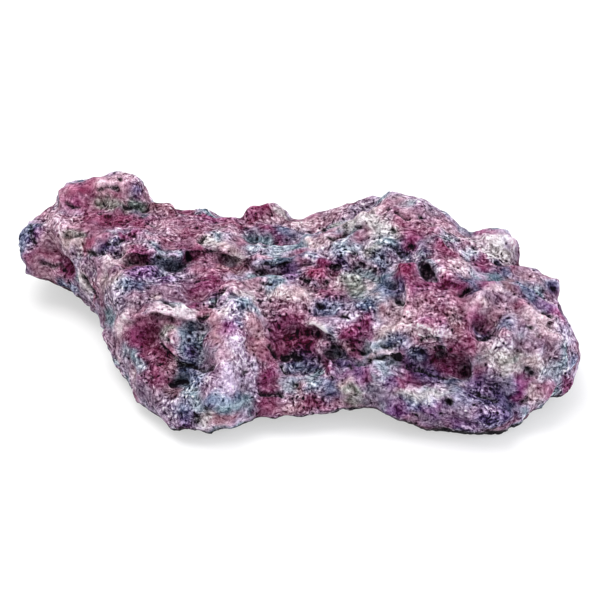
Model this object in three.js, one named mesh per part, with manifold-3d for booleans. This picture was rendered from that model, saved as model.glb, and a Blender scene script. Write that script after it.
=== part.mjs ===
// A dry reef rock in one piece: a low, blocky mass about 36 cm long with a narrow arm at its left end.
// Millimetres, +X along the rock, +Y towards its back, +Z up. It stands on z = 0, centred on the origin.

import * as THREE from 'three'
import { mergeVertices } from 'three/addons/utils/BufferGeometryUtils.js'
import Module from 'manifold-3d'

const wasm = await Module()
wasm.setup()

// Colour and finish of the dry, gritty coat
const coatColour = 0x89718a
const coatRoughness = 0.93

// Cross-sections from the tip of the arm to the right end.
// x, front edge, back edge, underside, top, and how far the top's front edge is set back.
const stations = [
  [-183, 52, 52, 35, 35, 0],
  [-176, 36, 70, 22, 50, 2],
  [-155, 31, 94, 14, 58, 4],
  [-128, 2, 100, 6, 66, 12],
  [-92, -88, 92, -3, 64, 40],
  [-47, -114, 86, -2, 61, 62],
  [0, -109, 80, 3, 61, 71],
  [47, -110, 76, 5, 73, 74],
  [92, -114, 66, -3, 78, 62],
  [128, -112, 40, -3, 64, 42],
  [156, -80, 14, 4, 55, 22],
  [173, -64, -10, 7, 39, 8],
  [179, -38, -38, 24, 24, 0],
]

// Every cross-section is a superellipse of this power, whose back leans in and whose front slopes back.
const squareness = 3.2
const slopeCurve = 1.2
const backLean = 0.12

// The middle of the rock's outline on the ground, which becomes the origin
const middle = { x: 1, y: -5.5 }

// The eye that the features are placed for looks down on the front of the rock.
const eyeTilt = THREE.MathUtils.degToRad(36)
const eyeDistance = 1053
const eyeTarget = new THREE.Vector3(6, -14, 43)

// Faces round the rock and along it. The underside, where nothing shows, takes a smaller share of them.
const columns = 68
const rows = 65
const undersideShare = 0.3
const undersideBelow = -0.6

// The narrowest spread that faces of this size can follow
const finestSpread = 6

// Name, path, spread, height (a hollow's is negative) and how steep the flanks are.
// A place with two numbers is where the eye sees it, across and up from the middle of its view.
// A place with three is a point in space, for what the eye can't see.
const forms = [
  ['upper left knob', [[-111, 71]], 17, 15, 3],
  ['left shoulder', [[-139, 66]], 14, 9, 3],
  ['arm brow', [[-153, 48], [-144, 36]], 8, 4, 2],
  ['arm hollow', [[-124, 33], [-119, 33]], 7, -7, 2.5],
  ['upper arm hollow', [[-121, 52]], 7, -6, 2.5],
  ['nose hollow', [[-160, 33], [-149, 24]], 9, -7, 2],
  ['nose tip', [[-172, 42]], 9, 5, 2],
  ['nose heel', [[-174, 24]], 8, 2, 2],
  ['nose crease', [[-165, 50]], 6, -3, 2],
  ['knob dimple', [[-131, 61]], 6, -4, 2],
  ['rear nub', [[-91, 56], [-84, 56]], 6, 5, 3],
  ['rear rim', [[-60, 56]], 8, 4, 2],
  ['rear bump', [[-25, 52], [-18, 52]], 10.5, 10, 5],
  ['rear hollow', [[-24, 40], [-6, 40]], 7, -6, 2.5],
  ['rear lump', [[-47, 38]], 10, 4, 2],
  ['left rim lump', [[-95, 38]], 10, 4, 2],
  ['saddle', [[6, 50], [24, 53], [38, 56]], 12, -11, 2],
  ['saddle lump', [[22, 49]], 6, 1.5, 3],
  ['summit', [[49, 62], [66, 59]], 23, 10, 2.5],
  ['summit face', [[45, 47], [54, 43]], 13, 5, 2],
  ['summit rib', [[33, 38], [42, 47]], 4, 4, 2],
  ['lower summit rib', [[19, 43], [28, 35]], 4, 3, 2],
  ['summit hollow', [[64, 32], [69, 28]], 7, -8, 2.5],
  ['summit ridge', [[76, 54], [88, 38]], 6, 3, 2],
  ['summit slope', [[76, 64], [84, 58]], 9, -3, 2],
  ['summit foot', [[89, 58], [105, 49]], 6, 3, 2],
  ['right knob', [[126, 33]], 13.5, 15, 3],
  ['right nub', [[112, 41]], 5, 3, 3],
  ['knob pit', [[134, 24]], 6, -5, 2.5],
  ['end nub', [[161, 9]], 6, 8, 3],
  ['end swell', [[146, 17], [154, 13]], 8, 4, 2],
  ['end hollow', [[148, 6], [157, -3]], 8, -5, 2],
  ['end fold', [[136, 9], [145, 0], [159, -14], [168, -28]], 5, 4, 2],
  ['black hole', [[79, 21], [84, 15]], 4, -9, 3],
  ['second hole', [[103, 5]], 4, -6, 3],
  ['hole shelf', [[93, 9]], 6, -5, 2],
  ['pale rib', [[66, 22], [70, 6], [66, -11]], 5, 4, 2],
  ['centre bowl', [[33, 11], [41, 16]], 13, -7, 2],
  ['centre crease', [[2, 36], [19, 27], [43, 20], [58, 10]], 3, -4, 2],
  ['centre pit', [[16, 12]], 4, -7, 3],
  ['second centre pit', [[3, 11]], 3.5, -6, 3],
  ['dark pit', [[23, 22]], 5, -6, 2.5],
  ['swell', [[-15, 8], [-1, 1]], 10, 6, 2],
  ['swell crease', [[-28, 9], [-36, 1], [-51, -6]], 3, -4, 2],
  ['bowl', [[-63, 5], [-54, 8]], 9, -6, 2],
  ['eyebrow', [[8, -15], [21, -18], [33, -20]], 5, 6, 2.5],
  ['great hollow', [[-7, -24], [0, -33]], 15, -9, 2],
  ['hollow floor', [[-6, -37], [8, -39]], 9, -5, 2],
  ['hollow link', [[28, -29], [38, -29]], 7, -6, 2.5],
  ['link pit', [[21, -30]], 3.5, -6, 3],
  ['link post', [[20, -35], [21, -44]], 3, 5, 2.5],
  ['right brow', [[62, -21], [82, -20], [95, -25], [106, -30]], 7, 7, 2.5],
  ['right hollow', [[79, -39], [90, -40], [102, -39]], 13, -13, 2.5],
  ['right hollow pit', [[87, -31]], 4, -6, 2.5],
  ['hollow gully', [[106, -49], [120, -59], [131, -64]], 7, -8, 2.5],
  ['front toe', [[0, -54], [25, -53], [46, -53]], 9, 4, 2],
  ['toe ledge', [[52, -49], [69, -57], [87, -62], [107, -66], [126, -71]], 8, 8, 2.5],
  ['toe bump', [[102, -55]], 6, 6, 2.5],
  ['second toe bump', [[45, -45]], 6, 4, 2.5],
  ['right lobe', [[142, -19], [152, -35]], 26, 9, 2.5],
  ['lobe ring', [[113, -2], [117, 5], [126, 6], [134, 1]], 5, 5, 2.5],
  ['lobe hollow', [[115, -17]], 8, -10, 2.5],
  ['lobe bump', [[126, -26]], 7, 4, 2.5],
  ['outer lobe bump', [[157, -32]], 8, 4, 2.5],
  ['lower lobe bump', [[148, -56]], 8, 5, 2.5],
  ['lobe heel', [[141, -75], [149, -71]], 7, -3, 2],
  ['lobe toe', [[162, -60]], 8, 2, 2],
  ['lobe dent', [[139, -41]], 7, -5, 2.5],
  ['upper lobe dent', [[136, -11]], 6, -4, 2.5],
  ['spur', [[-42, 5], [-44, -16], [-44, -38], [-49, -62]], 12, 11, 2],
  ['left bench', [[-101, -14], [-90, -8], [-79, -8], [-69, -11]], 7, 6, 2.5],
  ['left hollow', [[-98, -22], [-92, -32], [-82, -40]], 11, -11, 2.5],
  ['left bump', [[-78, -23]], 6, 6, 2.5],
  ['left flank', [[-61, -19], [-66, -39]], 7, -7, 2.5],
  ['left slot', [[-85, -51], [-73, -51]], 5, -7, 2.5],
  ['left toe', [[-69, -60], [-54, -71]], 10, 5, 2],
  ['low hollow', [[-19, -54], [-5, -56]], 8, -5, 2],
  ['heel', [[-75, -76]], 13, 5, 2],
  ['flank lump', [[-117, 8]], 9, 4, 2],
  ['lower flank lump', [[-119, -21]], 12, 3.5, 2],
  ['flank dent', [[-121, -8]], 7, -4, 2],
  ['front arch', [[6, -67], [28, -66], [45, -68]], 7, -2, 2],
  ['arch end', [[36, -71], [50, -71]], 7, -1, 2],
  ['toe edge', [[-46, -82], [-30, -78]], 9, -4, 2],
  ['back shelf', [[-80, 92, 46], [-40, 88, 42], [0, 82, 44], [40, 78, 52]], 9, 6, 2.5],
  ['back hollow', [[-34, 86, 24], [-6, 82, 28]], 18, -11, 2],
  ['back swell', [[34, 78, 22], [54, 76, 30]], 18, 7, 2],
  ['back cleft', [[84, 70, 14], [90, 68, 50]], 9, -10, 2.5],
  ['back heel', [[-72, 90, 12]], 16, 6, 2],
  ['arm back dent', [[-136, 100, 34]], 14, -8, 2],
  ['right back dent', [[142, 26, 30]], 13, -7, 2],
  ['under hollow', [[-30, -12, 0], [44, -12, 5]], 42, -7, 2],
]

// Name, path, height of the lip, depth of the cut under it, and the widths of the two
const ledges = [
  ['upper ledge', [[-105, 28], [-95, 27], [-85, 24], [-76, 27], [-65, 30], [-52, 29], [-44, 25], [-32, 24],
    [-20, 21], [-6, 22], [0, 24]], 4, 9, 10, 5],
  ['thin ledge', [[28, -33], [39, -38], [51, -38], [64, -37], [72, -41], [88, -47]], 4, 6, 6, 3],
  ['left ledge', [[-106, -14], [-95, -9], [-81, -9], [-71, -12]], 3, 5, 7, 6],
  ['eyebrow ledge', [[8, -17], [20, -20], [32, -23]], 2.5, 4, 5, 4],
]
const lipSharpness = 1.8
const ledgeForward = 0.5
const ledgeOutward = 0.7
const ledgeTurn = 1.6

// A ledge fades and strengthens along its line.
const ledgeStrength = { usual: 0.85, change: 0.8, size: 22, seed: 61, least: 0.3, most: 1.3 }

// Lumps parted by creases all over the rock: size, height and seed. A creased lump folds its noise over.
const swells = { size: 38, height: 2.6, seed: 1 }
const creasedLumps = [
  { size: 24, height: 2.2, seed: 2 },
  { size: 13, height: 1.5, seed: 3 },
]
const creaseMiddle = 0.45

// Round pits of the once living rock, opened where a scattered seed lies near the surface
const pits = { spacing: 14, share: 0.12, radius: 3, reach: 2, seed: 12, lowest: 12, roughness: 0.25 }

// Numbers that scatter a repeatable value over the corners of a lattice
const hashSteps = [127.1, 311.7, 74.7, 53.3]
const hashScatter = 43758.5453
const gradientSeedStep = 7.1
const pointSeeds = [0, 3.7, 9.1]
const ownSeed = 17.3
const noiseGain = 1.6

// How far noise pushes places about before a form, a ledge or a lump is read there, in layers
const driftSeedSteps = [0, 1.7, 3.9]
const formDrift = [{ amount: 4, size: 26, seed: 41 }, { amount: 1.2, size: 12, seed: 47 }]
const ledgeDrift = [{ amount: 3, size: 22, seed: 51 }, { amount: 1.2, size: 12, seed: 57 }]
const lumpDrift = [{ amount: 5, size: 30, seed: 71 }]

function hashed(i, j, k, seed) {
  const wave = i * hashSteps[0] + j * hashSteps[1] + k * hashSteps[2] + seed * hashSteps[3]
  const value = Math.sin(wave) * hashScatter
  return value - Math.floor(value)
}

// Gradient noise, about -1 to 1, whose lumps are as large as size
function noise(p, size, seed) {
  const q = [p.x / size, p.y / size, p.z / size]
  const cell = q.map(Math.floor)
  const f = q.map((value, axis) => value - cell[axis])
  const blend = f.map((value) => value ** 3 * (value * (value * 6 - 15) + 10))
  let sum = 0
  for (let corner = 0; corner < 8; corner += 1) {
    const step = [corner & 1, (corner >> 1) & 1, corner >> 2]
    let share = 1
    let slope = 0
    for (let axis = 0; axis < 3; axis += 1) {
      share *= step[axis] ? blend[axis] : 1 - blend[axis]
      const at = cell.map((value, a) => value + step[a])
      const gradient = 2 * hashed(...at, seed + gradientSeedStep * axis) - 1
      slope += gradient * (f[axis] - step[axis])
    }
    sum += share * slope
  }
  return sum * noiseGain
}

const creased = (p, size, seed) => 1 - 2 * Math.abs(noise(p, size, seed)) - creaseMiddle

// A copy of the point, pushed about by noise, which keeps forms from looking drawn with a compass
function drifted(p, layers) {
  const moved = p.clone()
  for (const { amount, size, seed } of layers) {
    const push = driftSeedSteps.map((step) => amount * noise(p, size, seed + step))
    moved.add(new THREE.Vector3(...push))
  }
  return moved
}

// A row of the stations table at any place along it, by a Catmull-Rom curve through the rows
function station(t) {
  const last = stations.length - 1
  const i = Math.min(Math.floor(t), last - 1)
  const f = t - i
  return stations[i].map((here, column) => {
    const next = stations[i + 1][column]
    const before = i > 0 ? stations[i - 1][column] : 2 * here - next
    const after = i < last - 1 ? stations[i + 2][column] : 2 * next - here
    const leave = (next - before) / 2
    const arrive = (after - here) / 2
    return (2 * f ** 3 - 3 * f ** 2 + 1) * here + (f ** 3 - 2 * f ** 2 + f) * leave
      + (3 * f ** 2 - 2 * f ** 3) * next + (f ** 3 - f ** 2) * arrive
  })
}

// The plain surface, before any form is raised: place t along the stations, angle round the section
function plainPoint(t, angle) {
  const [x, front, back, under, top, setback] = station(t)
  const c = Math.cos(angle)
  const s = Math.sin(angle)
  const radius = (Math.abs(c) ** squareness + Math.abs(s) ** squareness) ** (-1 / squareness)
  const rise = (radius * s + 1) / 2
  const near = front + setback * rise ** slopeCurve
  const far = back - backLean * (top - under) * rise
  const y = (near + far) / 2 + ((far - near) / 2) * radius * c
  const z = (under + top) / 2 + ((top - under) / 2) * radius * s
  return new THREE.Vector3(x, y, z)
}

// A close net of the plain surface, which the spacing of the faces and the eye's view are read from
const netRows = 480
const netColumns = 360

// The rows of the net that cross the body, whose columns are measured
const bodyStart = 120
const bodyEnd = 398

const net = []
for (let i = 0; i <= netRows; i += 1) {
  const t = (i / netRows) * (stations.length - 1)
  net.push(Array.from({ length: netColumns + 1 }, (_, j) => plainPoint(t, (j / netColumns) * 2 * Math.PI)))
}

// Places along a scale of steps that share the steps' sum out evenly
function shareOut(steps, count, scale) {
  const run = [0]
  for (const step of steps) run.push(run.at(-1) + step)
  const places = []
  let k = 0
  for (let n = 0; n <= count; n += 1) {
    const goal = (run.at(-1) * n) / count
    while (k < steps.length - 1 && run[k + 1] < goal) k += 1
    places.push(((k + (goal - run[k]) / steps[k]) / steps.length) * scale)
  }
  return places
}

function rowPlaces() {
  const steps = []
  for (let i = 0; i < netRows; i += 1) {
    const lengths = net[i].map((p, j) => p.distanceTo(net[i + 1][j]))
    steps.push(lengths.reduce((sum, length) => sum + length, 0))
  }
  return shareOut(steps, rows, stations.length - 1)
}

function columnAngles() {
  const steps = []
  for (let j = 0; j < netColumns; j += 1) {
    let length = 0
    for (let i = bodyStart; i <= bodyEnd; i += 1) length += net[i][j].distanceTo(net[i][j + 1])
    const underneath = Math.sin(((j + 0.5) / netColumns) * 2 * Math.PI) < undersideBelow
    steps.push(underneath ? length * undersideShare : length)
  }
  return shareOut(steps, columns, 2 * Math.PI)
}

// Where the eye sees a point of the rock: across and up from the middle of its view, and how far off
function view(p) {
  const x = p.x - eyeTarget.x
  const y = p.y - eyeTarget.y
  const z = p.z - eyeTarget.z
  const depth = eyeDistance + y * Math.cos(eyeTilt) - z * Math.sin(eyeTilt)
  const scale = eyeDistance / depth
  const up = z * Math.cos(eyeTilt) + y * Math.sin(eyeTilt)
  return [x * scale, up * scale, depth]
}

// The point of the plain surface that the eye sees at a place in its view
const missWeight = 20
const seenNet = net.flat().map((p) => [p, ...view(p)])
function placed(place) {
  if (place.length === 3) return new THREE.Vector3(...place)
  let best = Infinity
  let found = null
  for (const [p, across, up, depth] of seenNet) {
    const score = depth + missWeight * Math.hypot(across - place[0], up - place[1])
    if (score < best) {
      best = score
      found = p
    }
  }
  return found.clone()
}

// The nearest point of a path to p
function nearestOnPath(p, path) {
  if (path.length === 1) return path[0]
  let best = Infinity
  let nearest = null
  for (let i = 0; i < path.length - 1; i += 1) {
    const candidate = new THREE.Line3(path[i], path[i + 1]).closestPointToPoint(p, true, new THREE.Vector3())
    const distance = candidate.distanceTo(p)
    if (distance < best) {
      best = distance
      nearest = candidate
    }
  }
  return nearest
}

// Vertices this close are one
const mergeWithin = 1e-3

// The even net of faces on the plain surface, from a sphere whose vertices are moved
function plainRock() {
  const places = rowPlaces()
  const angles = columnAngles()
  const geometry = new THREE.SphereGeometry(1, columns, rows)
  geometry.deleteAttribute('normal')
  geometry.deleteAttribute('uv')
  const position = geometry.getAttribute('position')
  for (let i = 0; i <= rows; i += 1) {
    for (let j = 0; j <= columns; j += 1) {
      const p = plainPoint(places[i], angles[(columns - j) % columns])
      position.setXYZ(i * (columns + 1) + j, p.x, p.y, p.z)
    }
  }
  return mergeVertices(geometry, mergeWithin)
}

// Moves every vertex by what the rule gives for its place and the surface's direction there
function shift(geometry, rule) {
  geometry.computeVertexNormals()
  const position = geometry.getAttribute('position')
  const normal = geometry.getAttribute('normal')
  for (let i = 0; i < position.count; i += 1) {
    const p = new THREE.Vector3().fromBufferAttribute(position, i)
    const n = new THREE.Vector3().fromBufferAttribute(normal, i)
    const moved = rule(p, n)
    position.setXYZ(i, moved.x, moved.y, moved.z)
  }
}

// Raises the forms and sinks the hollows
function raiseForms(geometry) {
  const paths = forms.map(([, path]) => path.map(placed))
  shift(geometry, (p, n) => {
    const w = drifted(p, formDrift)
    let push = 0
    forms.forEach(([, , spread, height, steepness], i) => {
      const distance = nearestOnPath(w, paths[i]).distanceTo(w)
      push += height * Math.exp(-((distance / Math.max(spread, finestSpread)) ** steepness))
    })
    return p.addScaledVector(n, push)
  })
}

// A point this close to a ledge's line is on it
const onTheLine = 1e-6

// Draws out each ledge's lip and cuts the wall in below it
function cutLedges(geometry) {
  const climb = new THREE.Vector3(0, Math.sin(eyeTilt), Math.cos(eyeTilt))
  const paths = ledges.map(([, path]) => path.map(placed))
  shift(geometry, (p, n) => {
    const w = drifted(p, ledgeDrift)
    const { usual, change, size, seed, least, most } = ledgeStrength
    const strength = THREE.MathUtils.clamp(usual + change * noise(p, size, seed), least, most)
    let push = 0
    ledges.forEach(([, , lip, cut, above, below], i) => {
      const offset = w.clone().sub(nearestOnPath(w, paths[i]))
      const distance = offset.length()
      const slant = offset.dot(climb) / Math.max(distance, onTheLine)
      const height = distance * THREE.MathUtils.clamp(ledgeTurn * slant, -1, 1)
      const over = 1 / (1 + Math.exp(-height / lipSharpness))
      const raised = lip * Math.exp(-((height / above) ** 2))
      const sunk = cut * Math.exp(-(((height + below / 2) / below) ** 2))
      const beside = Math.exp(-(((distance - Math.abs(height)) / above) ** 2))
      push += (over * raised - (1 - over) * sunk) * beside
    })
    p.addScaledVector(n, ledgeOutward * push * strength)
    p.y -= ledgeForward * push * strength
    return p
  })
}

// Roughens the whole rock with swells and creased lumps
function roughen(geometry) {
  shift(geometry, (p, n) => {
    const w = drifted(p, lumpDrift)
    let push = swells.height * noise(p, swells.size, swells.seed)
    for (const { size, height, seed } of creasedLumps) push += height * creased(w, size, seed)
    return p.addScaledVector(n, push)
  })
}

// Flattens what would reach below the ground into the feet that the rock stands on
function flattenFeet(geometry) {
  shift(geometry, (p) => p.setZ(Math.max(p.z, 0)))
}

// Lays each four-cornered cell's diagonal the short way, past the single faces round the first end
function shortenDiagonals(geometry) {
  const position = geometry.getAttribute('position')
  const corner = (i) => new THREE.Vector3().fromBufferAttribute(position, i)
  const faces = geometry.index.array
  const around = 3 * columns
  for (let at = around; at < faces.length - around; at += 6) {
    const [a, b, d] = faces.slice(at, at + 3)
    const c = faces[at + 4]
    if (corner(a).distanceTo(corner(c)) < corner(b).distanceTo(corner(d))) faces.set([a, b, c, a, c, d], at)
  }
}

function solid(geometry) {
  const vertProperties = new Float32Array(geometry.getAttribute('position').array)
  const triVerts = new Uint32Array(geometry.index.array)
  return new wasm.Manifold(new wasm.Mesh({ numProp: 3, vertProperties, triVerts }))
}

// An uneven little ball, which a pit is cut with
function pitBall(centre, radius) {
  const ball = new THREE.IcosahedronGeometry(radius)
  ball.deleteAttribute('normal')
  ball.deleteAttribute('uv')
  const geometry = mergeVertices(ball, mergeWithin)
  geometry.translate(centre.x, centre.y, centre.z)
  shift(geometry, (p, n) => {
    const push = pits.roughness * radius * noise(p, 2 * radius, pits.seed)
    return p.addScaledVector(n, push)
  })
  return solid(geometry)
}

// How far a point is from the nearest face
function surfaceDistance(geometry, point) {
  const position = geometry.getAttribute('position')
  const corners = geometry.index.array
  const face = new THREE.Triangle()
  const nearest = new THREE.Vector3()
  let distance = Infinity
  for (let i = 0; i < corners.length; i += 3) {
    face.setFromAttributeAndIndices(position, corners[i], corners[i + 1], corners[i + 2])
    distance = Math.min(distance, face.closestPointToPoint(point, nearest).distanceTo(point))
  }
  return distance
}

// The scattered seeds that lie near the surface
function pitCentres(geometry) {
  geometry.computeBoundingBox()
  const { min, max } = geometry.boundingBox
  const low = min.clone().divideScalar(pits.spacing).floor()
  const high = max.clone().divideScalar(pits.spacing).floor()
  const centres = []
  for (let i = low.x; i <= high.x; i += 1) {
    for (let j = low.y; j <= high.y; j += 1) {
      for (let k = low.z; k <= high.z; k += 1) {
        if (hashed(i, j, k, pits.seed + ownSeed) < 1 - pits.share) continue
        const [x, y, z] = [i, j, k].map((cell, axis) => cell + hashed(i, j, k, pits.seed + pointSeeds[axis]))
        const centre = new THREE.Vector3(x, y, z).multiplyScalar(pits.spacing)
        if (centre.z < pits.lowest) continue
        if (surfaceDistance(geometry, centre) < pits.reach) centres.push(centre)
      }
    }
  }
  return centres
}

function rockGeometry() {
  const geometry = plainRock()
  raiseForms(geometry)
  cutLedges(geometry)
  roughen(geometry)
  flattenFeet(geometry)
  shortenDiagonals(geometry)
  let rock = solid(geometry)
  for (const centre of pitCentres(geometry)) rock = rock.subtract(pitBall(centre, pits.radius))
  const mesh = rock.getMesh()
  const cut = new THREE.BufferGeometry()
  cut.setAttribute('position', new THREE.BufferAttribute(mesh.vertProperties, 3))
  cut.setIndex(new THREE.BufferAttribute(mesh.triVerts, 1))
  cut.translate(-middle.x, -middle.y, 0)
  cut.computeVertexNormals()
  return cut
}

const coat = new THREE.MeshStandardMaterial({ color: coatColour, roughness: coatRoughness, metalness: 0 })
const rock = new THREE.Mesh(rockGeometry(), coat)
rock.name = 'reef_rock'

const group = new THREE.Group()
group.add(rock)

export default group
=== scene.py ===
"""Dry reef rock: its rough surface, its mottled dry coat, a pale floor, soft light and the camera.

Shapes are worked out in millimetres with numpy and become metres when the mesh is made.
"""

import bpy
import numpy as np
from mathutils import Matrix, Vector


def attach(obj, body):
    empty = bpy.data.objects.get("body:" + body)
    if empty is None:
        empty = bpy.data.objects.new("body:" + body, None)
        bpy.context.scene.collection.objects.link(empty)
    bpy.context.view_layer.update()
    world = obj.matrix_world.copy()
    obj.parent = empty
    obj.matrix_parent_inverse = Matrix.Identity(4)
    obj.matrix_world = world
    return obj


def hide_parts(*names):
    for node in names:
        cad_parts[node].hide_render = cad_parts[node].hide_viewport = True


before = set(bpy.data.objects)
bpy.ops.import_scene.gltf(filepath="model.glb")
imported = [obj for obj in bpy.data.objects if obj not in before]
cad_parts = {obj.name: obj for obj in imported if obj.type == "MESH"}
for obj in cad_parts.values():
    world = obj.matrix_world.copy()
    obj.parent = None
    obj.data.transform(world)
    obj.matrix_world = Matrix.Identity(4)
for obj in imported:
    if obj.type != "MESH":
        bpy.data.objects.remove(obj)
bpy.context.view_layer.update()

MM = 0.001

# The eye looks down on the front of the rock. Features are placed as it sees them, and the camera is there.
EYE_TILT = np.radians(36)
EYE_DISTANCE = 1053
EYE_TARGET = np.array([6.0, -14.0, 43.0])

# The middle of the rock's outline on the ground, which is the frame's origin
MIDDLE = np.array([1.0, -5.5, 0.0])

# Cross-sections from the tip of the arm to the right end.
# x, front edge, back edge, underside, top, and how far the top's front edge is set back.
STATIONS = np.array([
    [-183, 52, 52, 35, 35, 0],
    [-176, 36, 70, 22, 50, 2],
    [-155, 31, 94, 14, 58, 4],
    [-128, 2, 100, 6, 66, 12],
    [-92, -88, 92, -3, 64, 40],
    [-47, -114, 86, -2, 61, 62],
    [0, -109, 80, 3, 61, 71],
    [47, -110, 76, 5, 73, 74],
    [92, -114, 66, -3, 78, 62],
    [128, -112, 40, -3, 64, 42],
    [156, -80, 14, 4, 55, 22],
    [173, -64, -10, 7, 39, 8],
    [179, -38, -38, 24, 24, 0],
], float)

# The power of the cross-sections' superellipse, how the front slope bends, and how far the back leans in
SQUARENESS = 3.2
SLOPE_CURVE = 1.2
BACK_LEAN = 0.12

# Cells along the rock and round it, which make just under 200,000 triangles
ROWS = 330
COLUMNS = 300

# The underside, where the sine of the angle is below the limit, gets this share of its due columns
UNDERSIDE_SHARE = 0.3
UNDERSIDE_BELOW = -0.6

# Where the body starts and ends along the stations. Its girth spaces the columns.
BODY_START = 0.25
BODY_END = 0.83

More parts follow.
